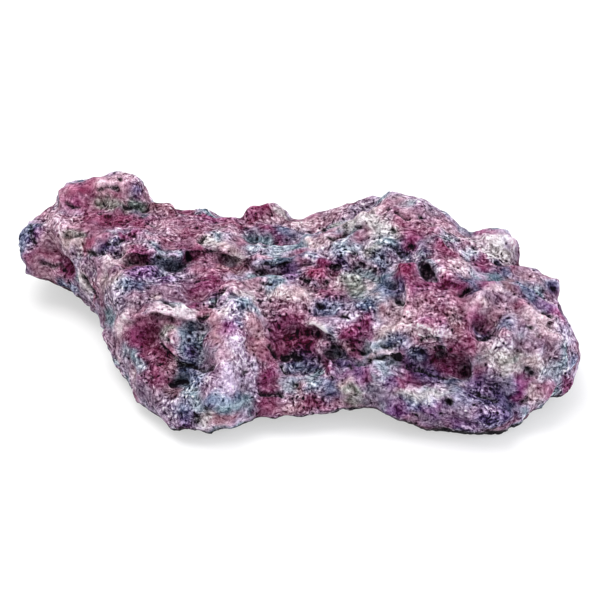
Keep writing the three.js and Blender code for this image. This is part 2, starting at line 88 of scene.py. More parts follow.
# Name, path, spread, height (a hollow's is negative) and how steep the flanks are.
# A place with two numbers is where the eye sees it, across and up from the middle of its view.
# A place with three is a point in space, for what the eye can't see.
FORMS = [
    ("upper left knob", [(-111, 71)], 17, 15, 3),
    ("left shoulder", [(-139, 66)], 14, 9, 3),
    ("arm brow", [(-153, 48), (-144, 36)], 8, 4, 2),
    ("arm hollow", [(-124, 33), (-119, 33)], 7, -7, 2.5),
    ("upper arm hollow", [(-121, 52)], 7, -6, 2.5),
    ("nose hollow", [(-160, 33), (-149, 24)], 9, -7, 2),
    ("nose tip", [(-172, 42)], 9, 5, 2),
    ("nose heel", [(-174, 24)], 8, 2, 2),
    ("nose crease", [(-165, 50)], 6, -3, 2),
    ("knob dimple", [(-131, 61)], 6, -4, 2),
    ("rear nub", [(-91, 56), (-84, 56)], 6, 5, 3),
    ("rear rim", [(-60, 56)], 8, 4, 2),
    ("rear bump", [(-25, 52), (-18, 52)], 10.5, 10, 5),
    ("rear hollow", [(-24, 40), (-6, 40)], 7, -6, 2.5),
    ("rear lump", [(-47, 38)], 10, 4, 2),
    ("left rim lump", [(-95, 38)], 10, 4, 2),
    ("saddle", [(6, 50), (24, 53), (38, 56)], 12, -11, 2),
    ("saddle lump", [(22, 49)], 6, 1.5, 3),
    ("summit", [(49, 62), (66, 59)], 23, 10, 2.5),
    ("summit face", [(45, 47), (54, 43)], 13, 5, 2),
    ("summit rib", [(33, 38), (42, 47)], 4, 4, 2),
    ("lower summit rib", [(19, 43), (28, 35)], 4, 3, 2),
    ("summit hollow", [(64, 32), (69, 28)], 7, -8, 2.5),
    ("summit ridge", [(76, 54), (88, 38)], 6, 3, 2),
    ("summit slope", [(76, 64), (84, 58)], 9, -3, 2),
    ("summit foot", [(89, 58), (105, 49)], 6, 3, 2),
    ("right knob", [(126, 33)], 13.5, 15, 3),
    ("right nub", [(112, 41)], 5, 3, 3),
    ("knob pit", [(134, 24)], 6, -5, 2.5),
    ("end nub", [(161, 9)], 6, 8, 3),
    ("end swell", [(146, 17), (154, 13)], 8, 4, 2),
    ("end hollow", [(148, 6), (157, -3)], 8, -5, 2),
    ("end fold", [(136, 9), (145, 0), (159, -14), (168, -28)], 5, 4, 2),
    ("black hole", [(79, 21), (84, 15)], 4, -9, 3),
    ("second hole", [(103, 5)], 4, -6, 3),
    ("hole shelf", [(93, 9)], 6, -5, 2),
    ("pale rib", [(66, 22), (70, 6), (66, -11)], 5, 4, 2),
    ("centre bowl", [(33, 11), (41, 16)], 13, -7, 2),
    ("centre crease", [(2, 36), (19, 27), (43, 20), (58, 10)], 3, -4, 2),
    ("centre pit", [(16, 12)], 4, -7, 3),
    ("second centre pit", [(3, 11)], 3.5, -6, 3),
    ("dark pit", [(23, 22)], 5, -6, 2.5),
    ("swell", [(-15, 8), (-1, 1)], 10, 6, 2),
    ("swell crease", [(-28, 9), (-36, 1), (-51, -6)], 3, -4, 2),
    ("bowl", [(-63, 5), (-54, 8)], 9, -6, 2),
    ("eyebrow", [(8, -15), (21, -18), (33, -20)], 5, 6, 2.5),
    ("great hollow", [(-7, -24), (0, -33)], 15, -9, 2),
    ("hollow floor", [(-6, -37), (8, -39)], 9, -5, 2),
    ("hollow link", [(28, -29), (38, -29)], 7, -6, 2.5),
    ("link pit", [(21, -30)], 3.5, -6, 3),
    ("link post", [(20, -35), (21, -44)], 3, 5, 2.5),
    ("right brow", [(62, -21), (82, -20), (95, -25), (106, -30)], 7, 7, 2.5),
    ("right hollow", [(79, -39), (90, -40), (102, -39)], 13, -13, 2.5),
    ("right hollow pit", [(87, -31)], 4, -6, 2.5),
    ("hollow gully", [(106, -49), (120, -59), (131, -64)], 7, -8, 2.5),
    ("front toe", [(0, -54), (25, -53), (46, -53)], 9, 4, 2),
    ("toe ledge", [(52, -49), (69, -57), (87, -62), (107, -66), (126, -71)], 8, 8, 2.5),
    ("toe bump", [(102, -55)], 6, 6, 2.5),
    ("second toe bump", [(45, -45)], 6, 4, 2.5),
    ("right lobe", [(142, -19), (152, -35)], 26, 9, 2.5),
    ("lobe ring", [(113, -2), (117, 5), (126, 6), (134, 1)], 5, 5, 2.5),
    ("lobe hollow", [(115, -17)], 8, -10, 2.5),
    ("lobe bump", [(126, -26)], 7, 4, 2.5),
    ("outer lobe bump", [(157, -32)], 8, 4, 2.5),
    ("lower lobe bump", [(148, -56)], 8, 5, 2.5),
    ("lobe heel", [(141, -75), (149, -71)], 7, -3, 2),
    ("lobe toe", [(162, -60)], 8, 2, 2),
    ("lobe dent", [(139, -41)], 7, -5, 2.5),
    ("upper lobe dent", [(136, -11)], 6, -4, 2.5),
    ("spur", [(-42, 5), (-44, -16), (-44, -38), (-49, -62)], 12, 11, 2),
    ("left bench", [(-101, -14), (-90, -8), (-79, -8), (-69, -11)], 7, 6, 2.5),
    ("left hollow", [(-98, -22), (-92, -32), (-82, -40)], 11, -11, 2.5),
    ("left bump", [(-78, -23)], 6, 6, 2.5),
    ("left flank", [(-61, -19), (-66, -39)], 7, -7, 2.5),
    ("left slot", [(-85, -51), (-73, -51)], 5, -7, 2.5),
    ("left toe", [(-69, -60), (-54, -71)], 10, 5, 2),
    ("low hollow", [(-19, -54), (-5, -56)], 8, -5, 2),
    ("heel", [(-75, -76)], 13, 5, 2),
    ("flank lump", [(-117, 8)], 9, 4, 2),
    ("lower flank lump", [(-119, -21)], 12, 3.5, 2),
    ("flank dent", [(-121, -8)], 7, -4, 2),
    ("front arch", [(6, -67), (28, -66), (45, -68)], 7, -2, 2),
    ("arch end", [(36, -71), (50, -71)], 7, -1, 2),
    ("toe edge", [(-46, -82), (-30, -78)], 9, -4, 2),
    ("back shelf", [(-80, 92, 46), (-40, 88, 42), (0, 82, 44), (40, 78, 52)], 9, 6, 2.5),
    ("back hollow", [(-34, 86, 24), (-6, 82, 28)], 18, -11, 2),
    ("back swell", [(34, 78, 22), (54, 76, 30)], 18, 7, 2),
    ("back cleft", [(84, 70, 14), (90, 68, 50)], 9, -10, 2.5),
    ("back heel", [(-72, 90, 12)], 16, 6, 2),
    ("arm back dent", [(-136, 100, 34)], 14, -8, 2),
    ("right back dent", [(142, 26, 30)], 13, -7, 2),
    ("under hollow", [(-30, -12, 0), (44, -12, 5)], 42, -7, 2),
]

# Name, path, height of the lip, depth of the cut under it, and the widths of the two
LEDGES = [
    ("upper ledge", [(-105, 28), (-95, 27), (-85, 24), (-76, 27), (-65, 30), (-52, 29), (-44, 25), (-32, 24),
                     (-20, 21), (-6, 22), (0, 24)], 4, 9, 10, 5),
    ("thin ledge", [(28, -33), (39, -38), (51, -38), (64, -37), (72, -41), (88, -47)], 4, 6, 6, 3),
    ("left ledge", [(-106, -14), (-95, -9), (-81, -9), (-71, -12)], 3, 5, 7, 6),
    ("eyebrow ledge", [(8, -17), (20, -20), (32, -23)], 2.5, 4, 5, 4),
]

# How wide the turn under a lip is, and how far the push goes to the front and outwards
LIP_TURN = 0.9
LEDGE_FORWARD = 0.5
LEDGE_OUTWARD = 0.7

# Height over a ledge's line for each millimetre of climb
CLIMB_GAIN = 1.6

# A ledge's strength wanders along it: the middle, the limits, and the noise's amount, size and seed
LEDGE_STRENGTH = 0.85
LEDGE_LIMITS = (0.3, 1.3)
LEDGE_WANDER = (0.8, 22, 61)

# Name, path, width and depth of the thin cracks and small deep holes, which are also darkened with painted
# shade
CRACKS = [
    ("nose seam", [(-169, 48), (-170, 42), (-167, 36)], 1.5, 2),
    ("nose crease", [(-162, 23), (-155, 21), (-152, 24)], 1.3, 1.5),
    ("nose cut", [(-152, 23), (-148, 18)], 1.3, 1.5),
    ("knob fold", [(-148, 61), (-144, 59), (-139, 59)], 1.4, 2),
    ("shoulder groove", [(-149, 40), (-142, 40), (-135, 42)], 1.6, 1.5),
    ("knob hole", [(-114, 77)], 1.6, 3),
    ("knob crease", [(-128, 69), (-121, 72), (-116, 70)], 1.4, 2),
    ("under knob hole", [(-126, 55)], 1.6, 2.5),
    ("under knob crease", [(-110, 59), (-104, 60), (-97, 57)], 1.4, 2),
    ("arm pit floor", [(-135, 30), (-128, 29), (-123, 30)], 1.6, 2.5),
    ("arm pit right", [(-121, 35), (-116, 36), (-111, 38)], 1.4, 2),
    ("arm crease", [(-121, 43), (-114, 42)], 1.3, 1.5),
    ("arm low crease", [(-111, 42), (-104, 41)], 1.3, 1.5),
    ("plateau hole", [(-97, 49), (-94, 47)], 1.6, 3),
    ("root hole", [(-102, 28), (-98, 28)], 1.6, 2.5),
    ("arm seam", [(-113, 20), (-107, 24)], 1.3, 1.5),
    ("flank groove", [(-137, 15), (-133, 8), (-128, 0)], 1.6, 2.5),
    ("crevice mouth", [(-90, 26), (-85, 27), (-80, 27)], 1.8, 3),
    ("crevice cave", [(-71, 26), (-70, 30), (-64, 30)], 1.8, 2.5),
    ("crevice tail", [(-61, 30), (-54, 31), (-48, 28)], 1.4, 2),
    ("ledge holes", [(-61, 40), (-63, 37)], 1.5, 2.5),
    ("black hole", [(77, 25), (81, 21), (81, 18), (85, 13)], 1.4, 3),
    ("slope dots", [(-65, 12), (-58, 13)], 1.2, 1.2),
    ("spur crack", [(-49, 7), (-53, 2), (-56, -3)], 1.4, 3),
    ("bench crack", [(-76, -5), (-70, -4)], 1.3, 1.5),
    ("slot lip", [(-64, -13), (-59, -9)], 1.4, 2.5),
    ("bench holes", [(-85, -1), (-81, -3)], 1.4, 2),
    ("lump crack", [(-87, -29), (-81, -35), (-75, -40), (-68, -42)], 1.4, 2.5),
    ("lump hole", [(-84, -25)], 1.7, 3),
    ("low crack", [(-82, -54), (-76, -52), (-71, -52), (-66, -56)], 1.3, 2),
    ("floor hole", [(-90, -40)], 1.4, 2),
    ("floor dent", [(-94, -49)], 1.6, 1.5),
    ("beyond crack", [(-66, -42), (-61, -44), (-56, -43)], 1.4, 2),
    ("toe crack", [(-65, -74), (-67, -78)], 1.6, 2),
    ("toe hole left", [(-59, -69)], 1.5, 2),
    ("crevice roof", [(-24, 23), (-18, 24), (-11, 21), (-6, 24)], 1.6, 3),
    ("under crevice", [(-24, 11), (-18, 11)], 1.3, 2),
    ("crevice hole", [(5, 13)], 2, 4),
    ("swell hole", [(-16, 10)], 1.4, 2),
    ("notch", [(14, 45), (18, 40), (21, 38), (28, 42), (29, 47)], 1.4, 2.5),
    ("shoulder pits", [(34, 45), (38, 47)], 1.6, 2.5),
    ("face hole", [(59, 44)], 1.6, 3.5),
    ("summit hole", [(56, 58)], 1.5, 3),
    ("summit crease", [(61, 56), (66, 51)], 1.6, 2),
    ("summit back hole", [(76, 53)], 1.6, 3),
    ("summit pits", [(61, 33), (64, 27)], 1.5, 1.5),
    ("summit side hole", [(70, 33)], 1.6, 3),
    ("net holes", [(33, 30), (36, 29)], 1.3, 1.5),
    ("net side hole", [(42, 32)], 1.4, 2),
    ("centre hole", [(17, 11)], 1.8, 3.5),
    ("bowl hole", [(21, 21), (24, 21)], 1.6, 2.5),
    ("crease line", [(32, 27), (39, 21), (47, 19)], 1.3, 1.5),
    ("centre dot", [(13, -4)], 1.5, 3),
    ("bowl foot dot", [(27, -10)], 1.7, 3.5),
    ("hollow side", [(-19, -29), (-15, -35)], 1.6, 2.5),
    ("hollow floor", [(-9, -37), (-4, -35), (0, -37)], 2, 3),
    ("hollow slot", [(-11, -42), (-9, -46)], 1.7, 3),
    ("sill hole", [(-3, -54)], 1.5, 2.5),
    ("front crack", [(-15, -58), (-11, -61)], 1.5, 3),
    ("spur foot crack", [(-25, -59), (-18, -60)], 1.5, 2),
    ("spur dot", [(-32, -6)], 1.3, 2),
    ("spur foot dots", [(-33, -45), (-35, -47)], 1.3, 2),
    ("rib pits", [(61, -1), (64, -3)], 1.4, 2),
    ("rib pit right", [(68, -1)], 1.4, 2),
    ("wedge line", [(40, -33), (48, -33)], 1.3, 2),
    ("wedge cut", [(43, -39), (51, -36), (63, -37)], 1.6, 3),
    ("wedge top", [(51, -28), (56, -30), (62, -28)], 1.3, 2),
    ("link hole", [(21, -30)], 1.8, 3),
    ("link foot hole", [(22, -39)], 1.7, 2.5),
    ("link foot cut", [(30, -40), (33, -43)], 1.5, 2.5),
    ("hollow right roof", [(76, -25), (81, -23), (86, -24)], 1.4, 2.5),
    ("hollow right hole", [(85, -32), (90, -33)], 1.7, 3),
    ("hollow line", [(68, -43), (76, -44), (83, -46), (92, -49)], 1.4, 2),
    ("toe hole", [(94, -64)], 1.9, 4),
    ("gully cut", [(111, -59), (118, -61), (123, -64)], 1.4, 2),
    ("slope hole", [(93, 35)], 1.7, 3),
    ("knob foot hole", [(125, 23)], 1.9, 4),
    ("knob side holes", [(110, 34)], 1.5, 2),
    ("second hole cut", [(104, 4), (107, 6)], 1.2, 1.5),
    ("end crack", [(159, 8), (162, 6)], 1.4, 2),
    ("end cut", [(155, -8), (159, -10)], 1.5, 3),
    ("lobe crack", [(144, -16), (147, -18)], 1.4, 2.5),
    ("lobe hollow cut", [(112, -24), (118, -24), (121, -21)], 1.5, 2.5),
    ("lobe dark hole", [(143, -44), (146, -47)], 1.4, 2),
    ("outer crack", [(140, -65), (143, -63)], 1.5, 2),
]

# Layers of drift, each an amount, a size and a seed. They bend the outlines of what is placed or scattered.
FORM_DRIFT = [(4, 26, 41), (1.2, 12, 47)]
LEDGE_DRIFT = [(3, 22, 51), (1.2, 12, 57)]
LUMP_DRIFT = [(5, 30, 71)]
GRIT_DRIFT = [(1.5, 7, 81)]
CRACK_DRIFT = [(1.2, 6, 85)]
COAT_DRIFT = [(2.5, 20, 91), (2, 8, 97), (1.2, 4, 99)]

# Height, size and seed of each layer of relief
SWELLS = (2.6, 38, 1)
WIDE_LUMPS = (2.2, 24, 2)
LUMPS = (1.5, 13, 3)
CREASES = (0.65, 7, 4)
STREAKS = (0.35, 3.6, 6)
GRIT = (0.12, 2.6, 5)
STREAK_SCALE = np.array([0.6, 1, 1])
FINE_RELIEF = 0.7

# Pits of three sizes: the share of a ball's depth, spacing, share of the cells, the ball's radius and a seed
PITS = [(0.7, 14, 0.12, 2.8, 12), (0.6, 10, 0.25, 2.2, 22), (0.6, 5, 0.3, 1.5, 32)]

# What a calm crust loses of its fine relief and of its pits
CALM_RELIEF_LOSS = 0.5
CALM_PIT_LOSS = 0.7

# Painted shade in pits and cracks: how much darker the coat is for each millimetre of depth in a pit and in a
# crack, up to a greatest depth
PIT_PAINTED_SHADE = 0.07
CRACK_PAINTED_SHADE = 0.28
DARKEST_DEPTH = 2.5

# Numbers that scatter a repeatable value over the corners of a lattice
HASH_STEPS = (127.1, 311.7, 74.7, 53.3)
HASH_SCATTER = 43758.5453
GRADIENT_SEED_STEP = 7.1
DRIFT_SEEDS = (0, 1.7, 3.9)
POINT_SEEDS = (0, 3.7, 9.1)
OWN_SEED = 17.3
NOISE_GAIN = 1.6
CREASE_MIDDLE = 0.45

# A length too small to divide by
TINY = 1e-6


def add_object(name, data):
    """An object of its own for the data, in the scene."""
    thing = bpy.data.objects.new(name, data)
    bpy.context.collection.objects.link(thing)
    return thing


def add_camera():
    """The camera stands at the eye and looks at its target."""
    camera = add_object("camera", bpy.data.cameras.new("camera"))
    camera.data.lens = 100
    camera.data.sensor_width = 36
    target = Vector((EYE_TARGET - MIDDLE) * MM)
    back = Vector((0, -np.cos(EYE_TILT), np.sin(EYE_TILT)))
    camera.location = target + back * EYE_DISTANCE * MM
    camera.rotation_euler = back.to_track_quat("Z", "Y").to_euler()
    bpy.context.scene.camera = camera


def hashed(i, j, k, seed):
    """A repeatable number from 0 to 1: the fraction of a large multiple of the sine of a mixed sum."""
    wave = i * HASH_STEPS[0] + j * HASH_STEPS[1] + k * HASH_STEPS[2] + seed * HASH_STEPS[3]
    value = np.sin(wave) * HASH_SCATTER
    return value - np.floor(value)


def noise(p, size, seed):
    """Gradient noise, about -1 to 1: each corner's slope times the way to it, blended by a smooth step."""
    q = p / size
    cell = np.floor(q)
    f = q - cell
    blend = f**3 * (f * (f * 6 - 15) + 10)
    total = 0
    for corner in np.ndindex(2, 2, 2):
        at = cell + corner
        slope = 0
        share = 1
        for axis, step in enumerate(corner):
            gradient = 2 * hashed(at[..., 0], at[..., 1], at[..., 2], seed + GRADIENT_SEED_STEP * axis) - 1
            slope = slope + gradient * (f[..., axis] - step)
            share = share * (blend[..., axis] if step else 1 - blend[..., axis])
        total = total + share * slope
    return total * NOISE_GAIN


def layer(rule, p, numbers):
    """One layer of relief: the noise rule at the points, times the layer's height."""
    height, size, seed = numbers
    return height * rule(p, size, seed)


def creased(p, size, seed):
    """Lumps parted by creases: one less twice the noise's size, so that the noise's zero lines are ridges."""
    return 1 - 2 * np.abs(noise(p, size, seed)) - CREASE_MIDDLE


def scattered(p, size, seed):
    """The distance to the nearest of points scattered one to a cubic cell, and that point's own number."""
    q = p / size
    cell = np.floor(q)
    nearest = np.full(p.shape[:-1], np.inf)
    own = np.zeros(p.shape[:-1])
    for step in np.ndindex(3, 3, 3):
        at = cell + step - 1
        i, j, k = at[..., 0], at[..., 1], at[..., 2]
        point = np.stack([at[..., axis] + hashed(i, j, k, seed + POINT_SEEDS[axis]) for axis in range(3)], -1)
        distance = np.linalg.norm(q - point, axis=-1)
        own = np.where(distance < nearest, hashed(i, j, k, seed + OWN_SEED), own)
        nearest = np.minimum(nearest, distance)
    return nearest * size, own


def drifted(p, layers):
    """The points pushed about by the layers' noise, each axis by noise of its own."""
    moved = p
    for amount, size, seed in layers:
        push = [noise(p, size, seed + step) for step in DRIFT_SEEDS]
        moved = moved + amount * np.stack(push, -1)
    return moved


def station(t):
    """The stations table at any place along it, by a Catmull-Rom curve through its rows."""
    last = len(STATIONS) - 1
    i = np.minimum(np.floor(t).astype(int), last - 1)
    f = (t - i)[..., None]
    here, following = STATIONS[i], STATIONS[i + 1]
    before = np.where((i > 0)[..., None], STATIONS[np.maximum(i - 1, 0)], 2 * here - following)
    after = np.where((i < last - 1)[..., None], STATIONS[np.minimum(i + 2, last)], 2 * following - here)
    leave = (following - before) / 2
    arrive = (after - here) / 2
    return ((2 * f**3 - 3 * f**2 + 1) * here + (f**3 - 2 * f**2 + f) * leave
            + (3 * f**2 - 2 * f**3) * following + (f**3 - f**2) * arrive)


def plain_surface(t, angle):
    """A superellipse at each place t along the stations, its front leaning back and its back leaning in."""
    x, front, back, under, top, setback = np.moveaxis(station(t), -1, 0)
    c, s = np.cos(angle), np.sin(angle)
    radius = (np.abs(c) ** SQUARENESS + np.abs(s) ** SQUARENESS) ** (-1 / SQUARENESS)
    rise = (radius * s + 1) / 2
    near = front + setback * rise**SLOPE_CURVE
    far = back - BACK_LEAN * (top - under) * rise
    y = (near + far) / 2 + (far - near) / 2 * radius * c
    z = (under + top) / 2 + (top - under) / 2 * radius * s
    return np.stack([x, y, z], -1)


def view(p):
    """Where the eye sees each point: across and up from the middle of its view, and how far off."""
    q = p - EYE_TARGET
    depth = EYE_DISTANCE + q[..., 1] * np.cos(EYE_TILT) - q[..., 2] * np.sin(EYE_TILT)
    up = q[..., 2] * np.cos(EYE_TILT) + q[..., 1] * np.sin(EYE_TILT)
    return q[..., 0] * EYE_DISTANCE / depth, up * EYE_DISTANCE / depth, depth


# A close net of the plain surface, which the spacing of the cells and the eye's view are read from
NET_ROWS = 480
NET_COLUMNS = 360
NET_T = np.linspace(0, len(STATIONS) - 1, NET_ROWS + 1)
NET_ANGLE = np.linspace(0, 2 * np.pi, NET_COLUMNS + 1)
NET = plain_surface(*np.meshgrid(NET_T, NET_ANGLE, indexing="ij"))
NET_VIEW = view(NET)

# A millimetre beside the place that is looked for counts as this many millimetres of depth
MISS_WEIGHT = 20


def placed(path, surface=NET, seen=NET_VIEW):
    """A path's places in space. A place in the view goes to the surface point there nearest the eye."""
    across, up, depth = seen
    points = []
    for place in path:
        if len(place) == 2:
            score = depth + MISS_WEIGHT * np.hypot(across - place[0], up - place[1])
            place = surface.reshape(-1, 3)[score.argmin()]
        points.append(np.array(place, float))
    return points


def way_off(p, path):
    """The way from the nearest point of a path to each point."""
    if len(path) == 1:
        return p - path[0]
    nearest = None
    for start, end in zip(path[:-1], path[1:]):
        along = np.clip((p - start) @ (end - start) / ((end - start) @ (end - start)), 0, 1)
        off = p - start - along[..., None] * (end - start)
        if nearest is None:
            nearest = off
        else:
            closer = np.linalg.norm(off, axis=-1) < np.linalg.norm(nearest, axis=-1)
            nearest = np.where(closer[..., None], off, nearest)
    return nearest


def share_out(steps, scale, count):
    """Places along a scale that share out the sum of its steps evenly."""
    run = np.concatenate([[0], np.cumsum(steps)])
    return np.interp(np.linspace(0, run[-1], count + 1), run, scale)


def even_net():
    """The grid of t and angle whose cells are about as long as they are wide."""
    down = np.linalg.norm(np.diff(NET, axis=0), axis=-1).mean(1)
    body = NET[int(NET_ROWS * BODY_START):int(NET_ROWS * BODY_END)]
    around = np.linalg.norm(np.diff(body, axis=1), axis=-1).mean(0)
    underneath = np.sin((NET_ANGLE[1:] + NET_ANGLE[:-1]) / 2) < UNDERSIDE_BELOW
    around = np.where(underneath, around * UNDERSIDE_SHARE, around)
    rows = share_out(down, NET_T, ROWS)
    columns = share_out(around, NET_ANGLE, COLUMNS)[:-1]
    return np.meshgrid(rows, columns, indexing="ij")


def normals(p):
    """Each grid point's outward direction: the sum of the cross products of its four cells' diagonals."""
    q = np.roll(p, -1, 1)
    cell = np.cross(q[1:] - p[:-1], p[1:] - q[:-1])
    pair = cell + np.roll(cell, 1, 1)
    n = np.zeros_like(p)
    n[1:-1] = pair[1:] + pair[:-1]
    n[0] = cell[0].sum(0)
    n[-1] = cell[-1].sum(0)
    return n / np.linalg.norm(n, axis=-1, keepdims=True)


def raise_forms(p):
    """Each form pushes the surface out or in by height * exp(-(distance / spread)^steepness)."""
    w = drifted(p, FORM_DRIFT)
    push = 0
    for _, path, spread, height, steepness in FORMS:
        distance = np.linalg.norm(way_off(w, placed(path)), axis=-1)
        push = push + height * np.exp(-(distance / spread) ** steepness)
    return p + normals(p) * push[..., None]


def cut_ledges(p):
    """Each ledge has a lip above its line and a cut in the wall below it, both bell-shaped in height.

    A steep step at the line parts the two, and both fade like a bell beyond the line's ends.
    """
    w = drifted(p, LEDGE_DRIFT)
    climb = np.array([0, np.sin(EYE_TILT), np.cos(EYE_TILT)])
    strength = np.clip(LEDGE_STRENGTH + layer(noise, p, LEDGE_WANDER), *LEDGE_LIMITS)
    push = 0
    for _, path, lip, cut, above, below in LEDGES:
        off = way_off(w, placed(path))
        distance = np.linalg.norm(off, axis=-1)
        height = distance * np.clip(CLIMB_GAIN * (off @ climb) / np.maximum(distance, TINY), -1, 1)
        over = 1 / (1 + np.exp(-height / LIP_TURN))
        raised = lip * np.exp(-(height / above) ** 2)
        sunk = cut * np.exp(-((height + below / 2) / below) ** 2)
        beside = np.exp(-((distance - np.abs(height)) / above) ** 2)
        push = push + (over * raised - (1 - over) * sunk) * beside
    push = (push * strength)[..., None]
    return p + normals(p) * LEDGE_OUTWARD * push - np.array([0, LEDGE_FORWARD, 0]) * push


def roughen(p):
    """Wide swells and two sizes of creased lumps over the whole rock."""
    w = drifted(p, LUMP_DRIFT)
    push = layer(noise, p, SWELLS) + layer(creased, w, WIDE_LUMPS) + layer(creased, w, LUMPS)
    return p + normals(p) * push[..., None]


def pit_depth(p, spacing, share, radius, seed):
    """Round pits: where a chosen scattered point is within the radius, the depth of a ball's wall there."""
    distance, own = scattered(p, spacing, seed)
    depth = np.sqrt(np.clip(radius**2 - distance**2, 0, None))
    return np.where(own > 1 - share, depth, 0)


def weather(p, calm):
    """Fine creases, grit and pits, weaker where the crust is calm: the points, and the depth of the pits."""
    w = drifted(p, GRIT_DRIFT)
    pits = sum(depth * pit_depth(w, *pit) for depth, *pit in PITS) * (1 - CALM_PIT_LOSS * calm)
    push = layer(creased, w, CREASES) + layer(creased, w * STREAK_SCALE, STREAKS) + layer(noise, p, GRIT)
    push = FINE_RELIEF * push * (1 - CALM_RELIEF_LOSS * calm)
    return p + normals(p) * (push - pits)[..., None], pits


def crack(p):
    """The points sunk by the deepest depth * exp(-(distance / width)^2) of the cracks, and how far."""
    w = drifted(p, CRACK_DRIFT)
    seen = view(p)
    sunk = 0
    for _, path, width, depth in CRACKS:
        distance = np.linalg.norm(way_off(w, placed(path, p, seen)), axis=-1)
        sunk = np.maximum(sunk, depth * np.exp(-(distance / width) ** 2))
    return p - normals(p) * sunk[..., None], sunk


def rock_surface():
    """The surface as a grid, with rows from end to end and columns round it: points, shades, and the painted
    shade of pits and cracks.

    The plain cross-sections get forms, ledges, lumps, fine relief and cracks. What would lie below the
    ground is lifted to it, and each end is drawn together to one point.
    """
    p = plain_surface(*even_net())
    p = raise_forms(p)
    p = cut_ledges(p)
    p = roughen(p)
    shades = coat_shades(p)
    p, pits = weather(p, calmness(shades))
    p, cracks = crack(p)
    p[..., 2] = np.maximum(p[..., 2], 0)
    p[0] = p[0].mean(0)
    p[-1] = p[-1].mean(0)
    # Painted shade in pits and cracks, darker the deeper they are
    dark = PIT_PAINTED_SHADE * pits + CRACK_PAINTED_SHADE * np.clip(cracks, 0, DARKEST_DEPTH)
    return p - MIDDLE, shades, dark


def grid_mesh(name, p, attributes):
    """A closed mesh: a point for each end, and a ring of points for each row between."""
    rows, columns = p.shape[0] - 1, p.shape[1]

    def gathered(values):
        """The grid's values in the order of the mesh's points."""
        return np.concatenate([values[:1, 0], values[1:-1].reshape(-1, *values.shape[2:]), values[-1:, 0]])

    ring = 1 + np.arange((rows - 1) * columns).reshape(rows - 1, columns)
    turned = np.roll(ring, -1, 1)
    quads = np.stack([ring[:-1], turned[:-1], turned[1:], ring[1:]], -1).reshape(-1, 4)
    last = ring[-1, -1] + 1
    left = np.stack([np.zeros(columns, int), turned[0], ring[0]], -1)
    right = np.stack([np.full(columns, last), ring[-1], turned[-1]], -1)
    mesh = bpy.data.meshes.new(name)
    mesh.from_pydata((gathered(p) * MM).tolist(), [], left.tolist() + quads.tolist() + right.tolist())
    mesh.polygons.foreach_set("use_smooth", np.ones(len(mesh.polygons), bool))
    for label, values in attributes.items():
        kind, slot = ("FLOAT_VECTOR", "vector") if values.ndim == 3 else ("FLOAT", "value")
        attribute = mesh.attributes.new(label, kind, "POINT")
        attribute.data.foreach_set(slot, gathered(values).astype(np.float32).ravel())
    return mesh


def smoothed(p, times):
    """Each point moved to the mean of its four neighbours, so many times."""
    for _ in range(times):
        inner = (p[:-2] + p[2:] + np.roll(p, 1, 1)[1:-1] + np.roll(p, -1, 1)[1:-1]) / 4
        p = np.concatenate([p[:1], inner, p[-1:]])
    return p


def standing_out(p, times):
    """How far each point stands out, in millimetres, from the surface smoothed so many times."""
    return np.einsum("...i,...i", p - smoothed(p, times), normals(p))


# The coat's shades, in 8-bit sRGB
SHADES = {
    "white": (226, 210, 216),
    "mauve": (144, 114, 134),
    "peach": (206, 182, 184),
    "salmon": (184, 138, 150),
    "madder": (152, 102, 124),
    "maroon": (124, 60, 88),
    "moss": (92, 106, 98),
    "rose": (184, 146, 162),
    "pink": (212, 184, 194),
    "cream": (210, 202, 202),
    "crimson": (158, 84, 112),
    "plum": (134, 68, 104),
    "wine": (112, 50, 82),
    "brown": (140, 104, 114),
    "magenta": (132, 62, 112),
    "violet": (118, 84, 128),
    "lilac": (188, 172, 196),
    "navy": (82, 70, 106),
    "slate": (98, 108, 134),
    "ash": (134, 118, 138),
    "teal": (118, 138, 148),
    "ice": (166, 178, 192),
    "sage": (142, 143, 136),
    # Deep teal and black are painted shade: they are set only in crevices under ledges, slots, hollows and
    # holes
    "deep teal": (68, 76, 94),
    "black": (40, 22, 34),
}

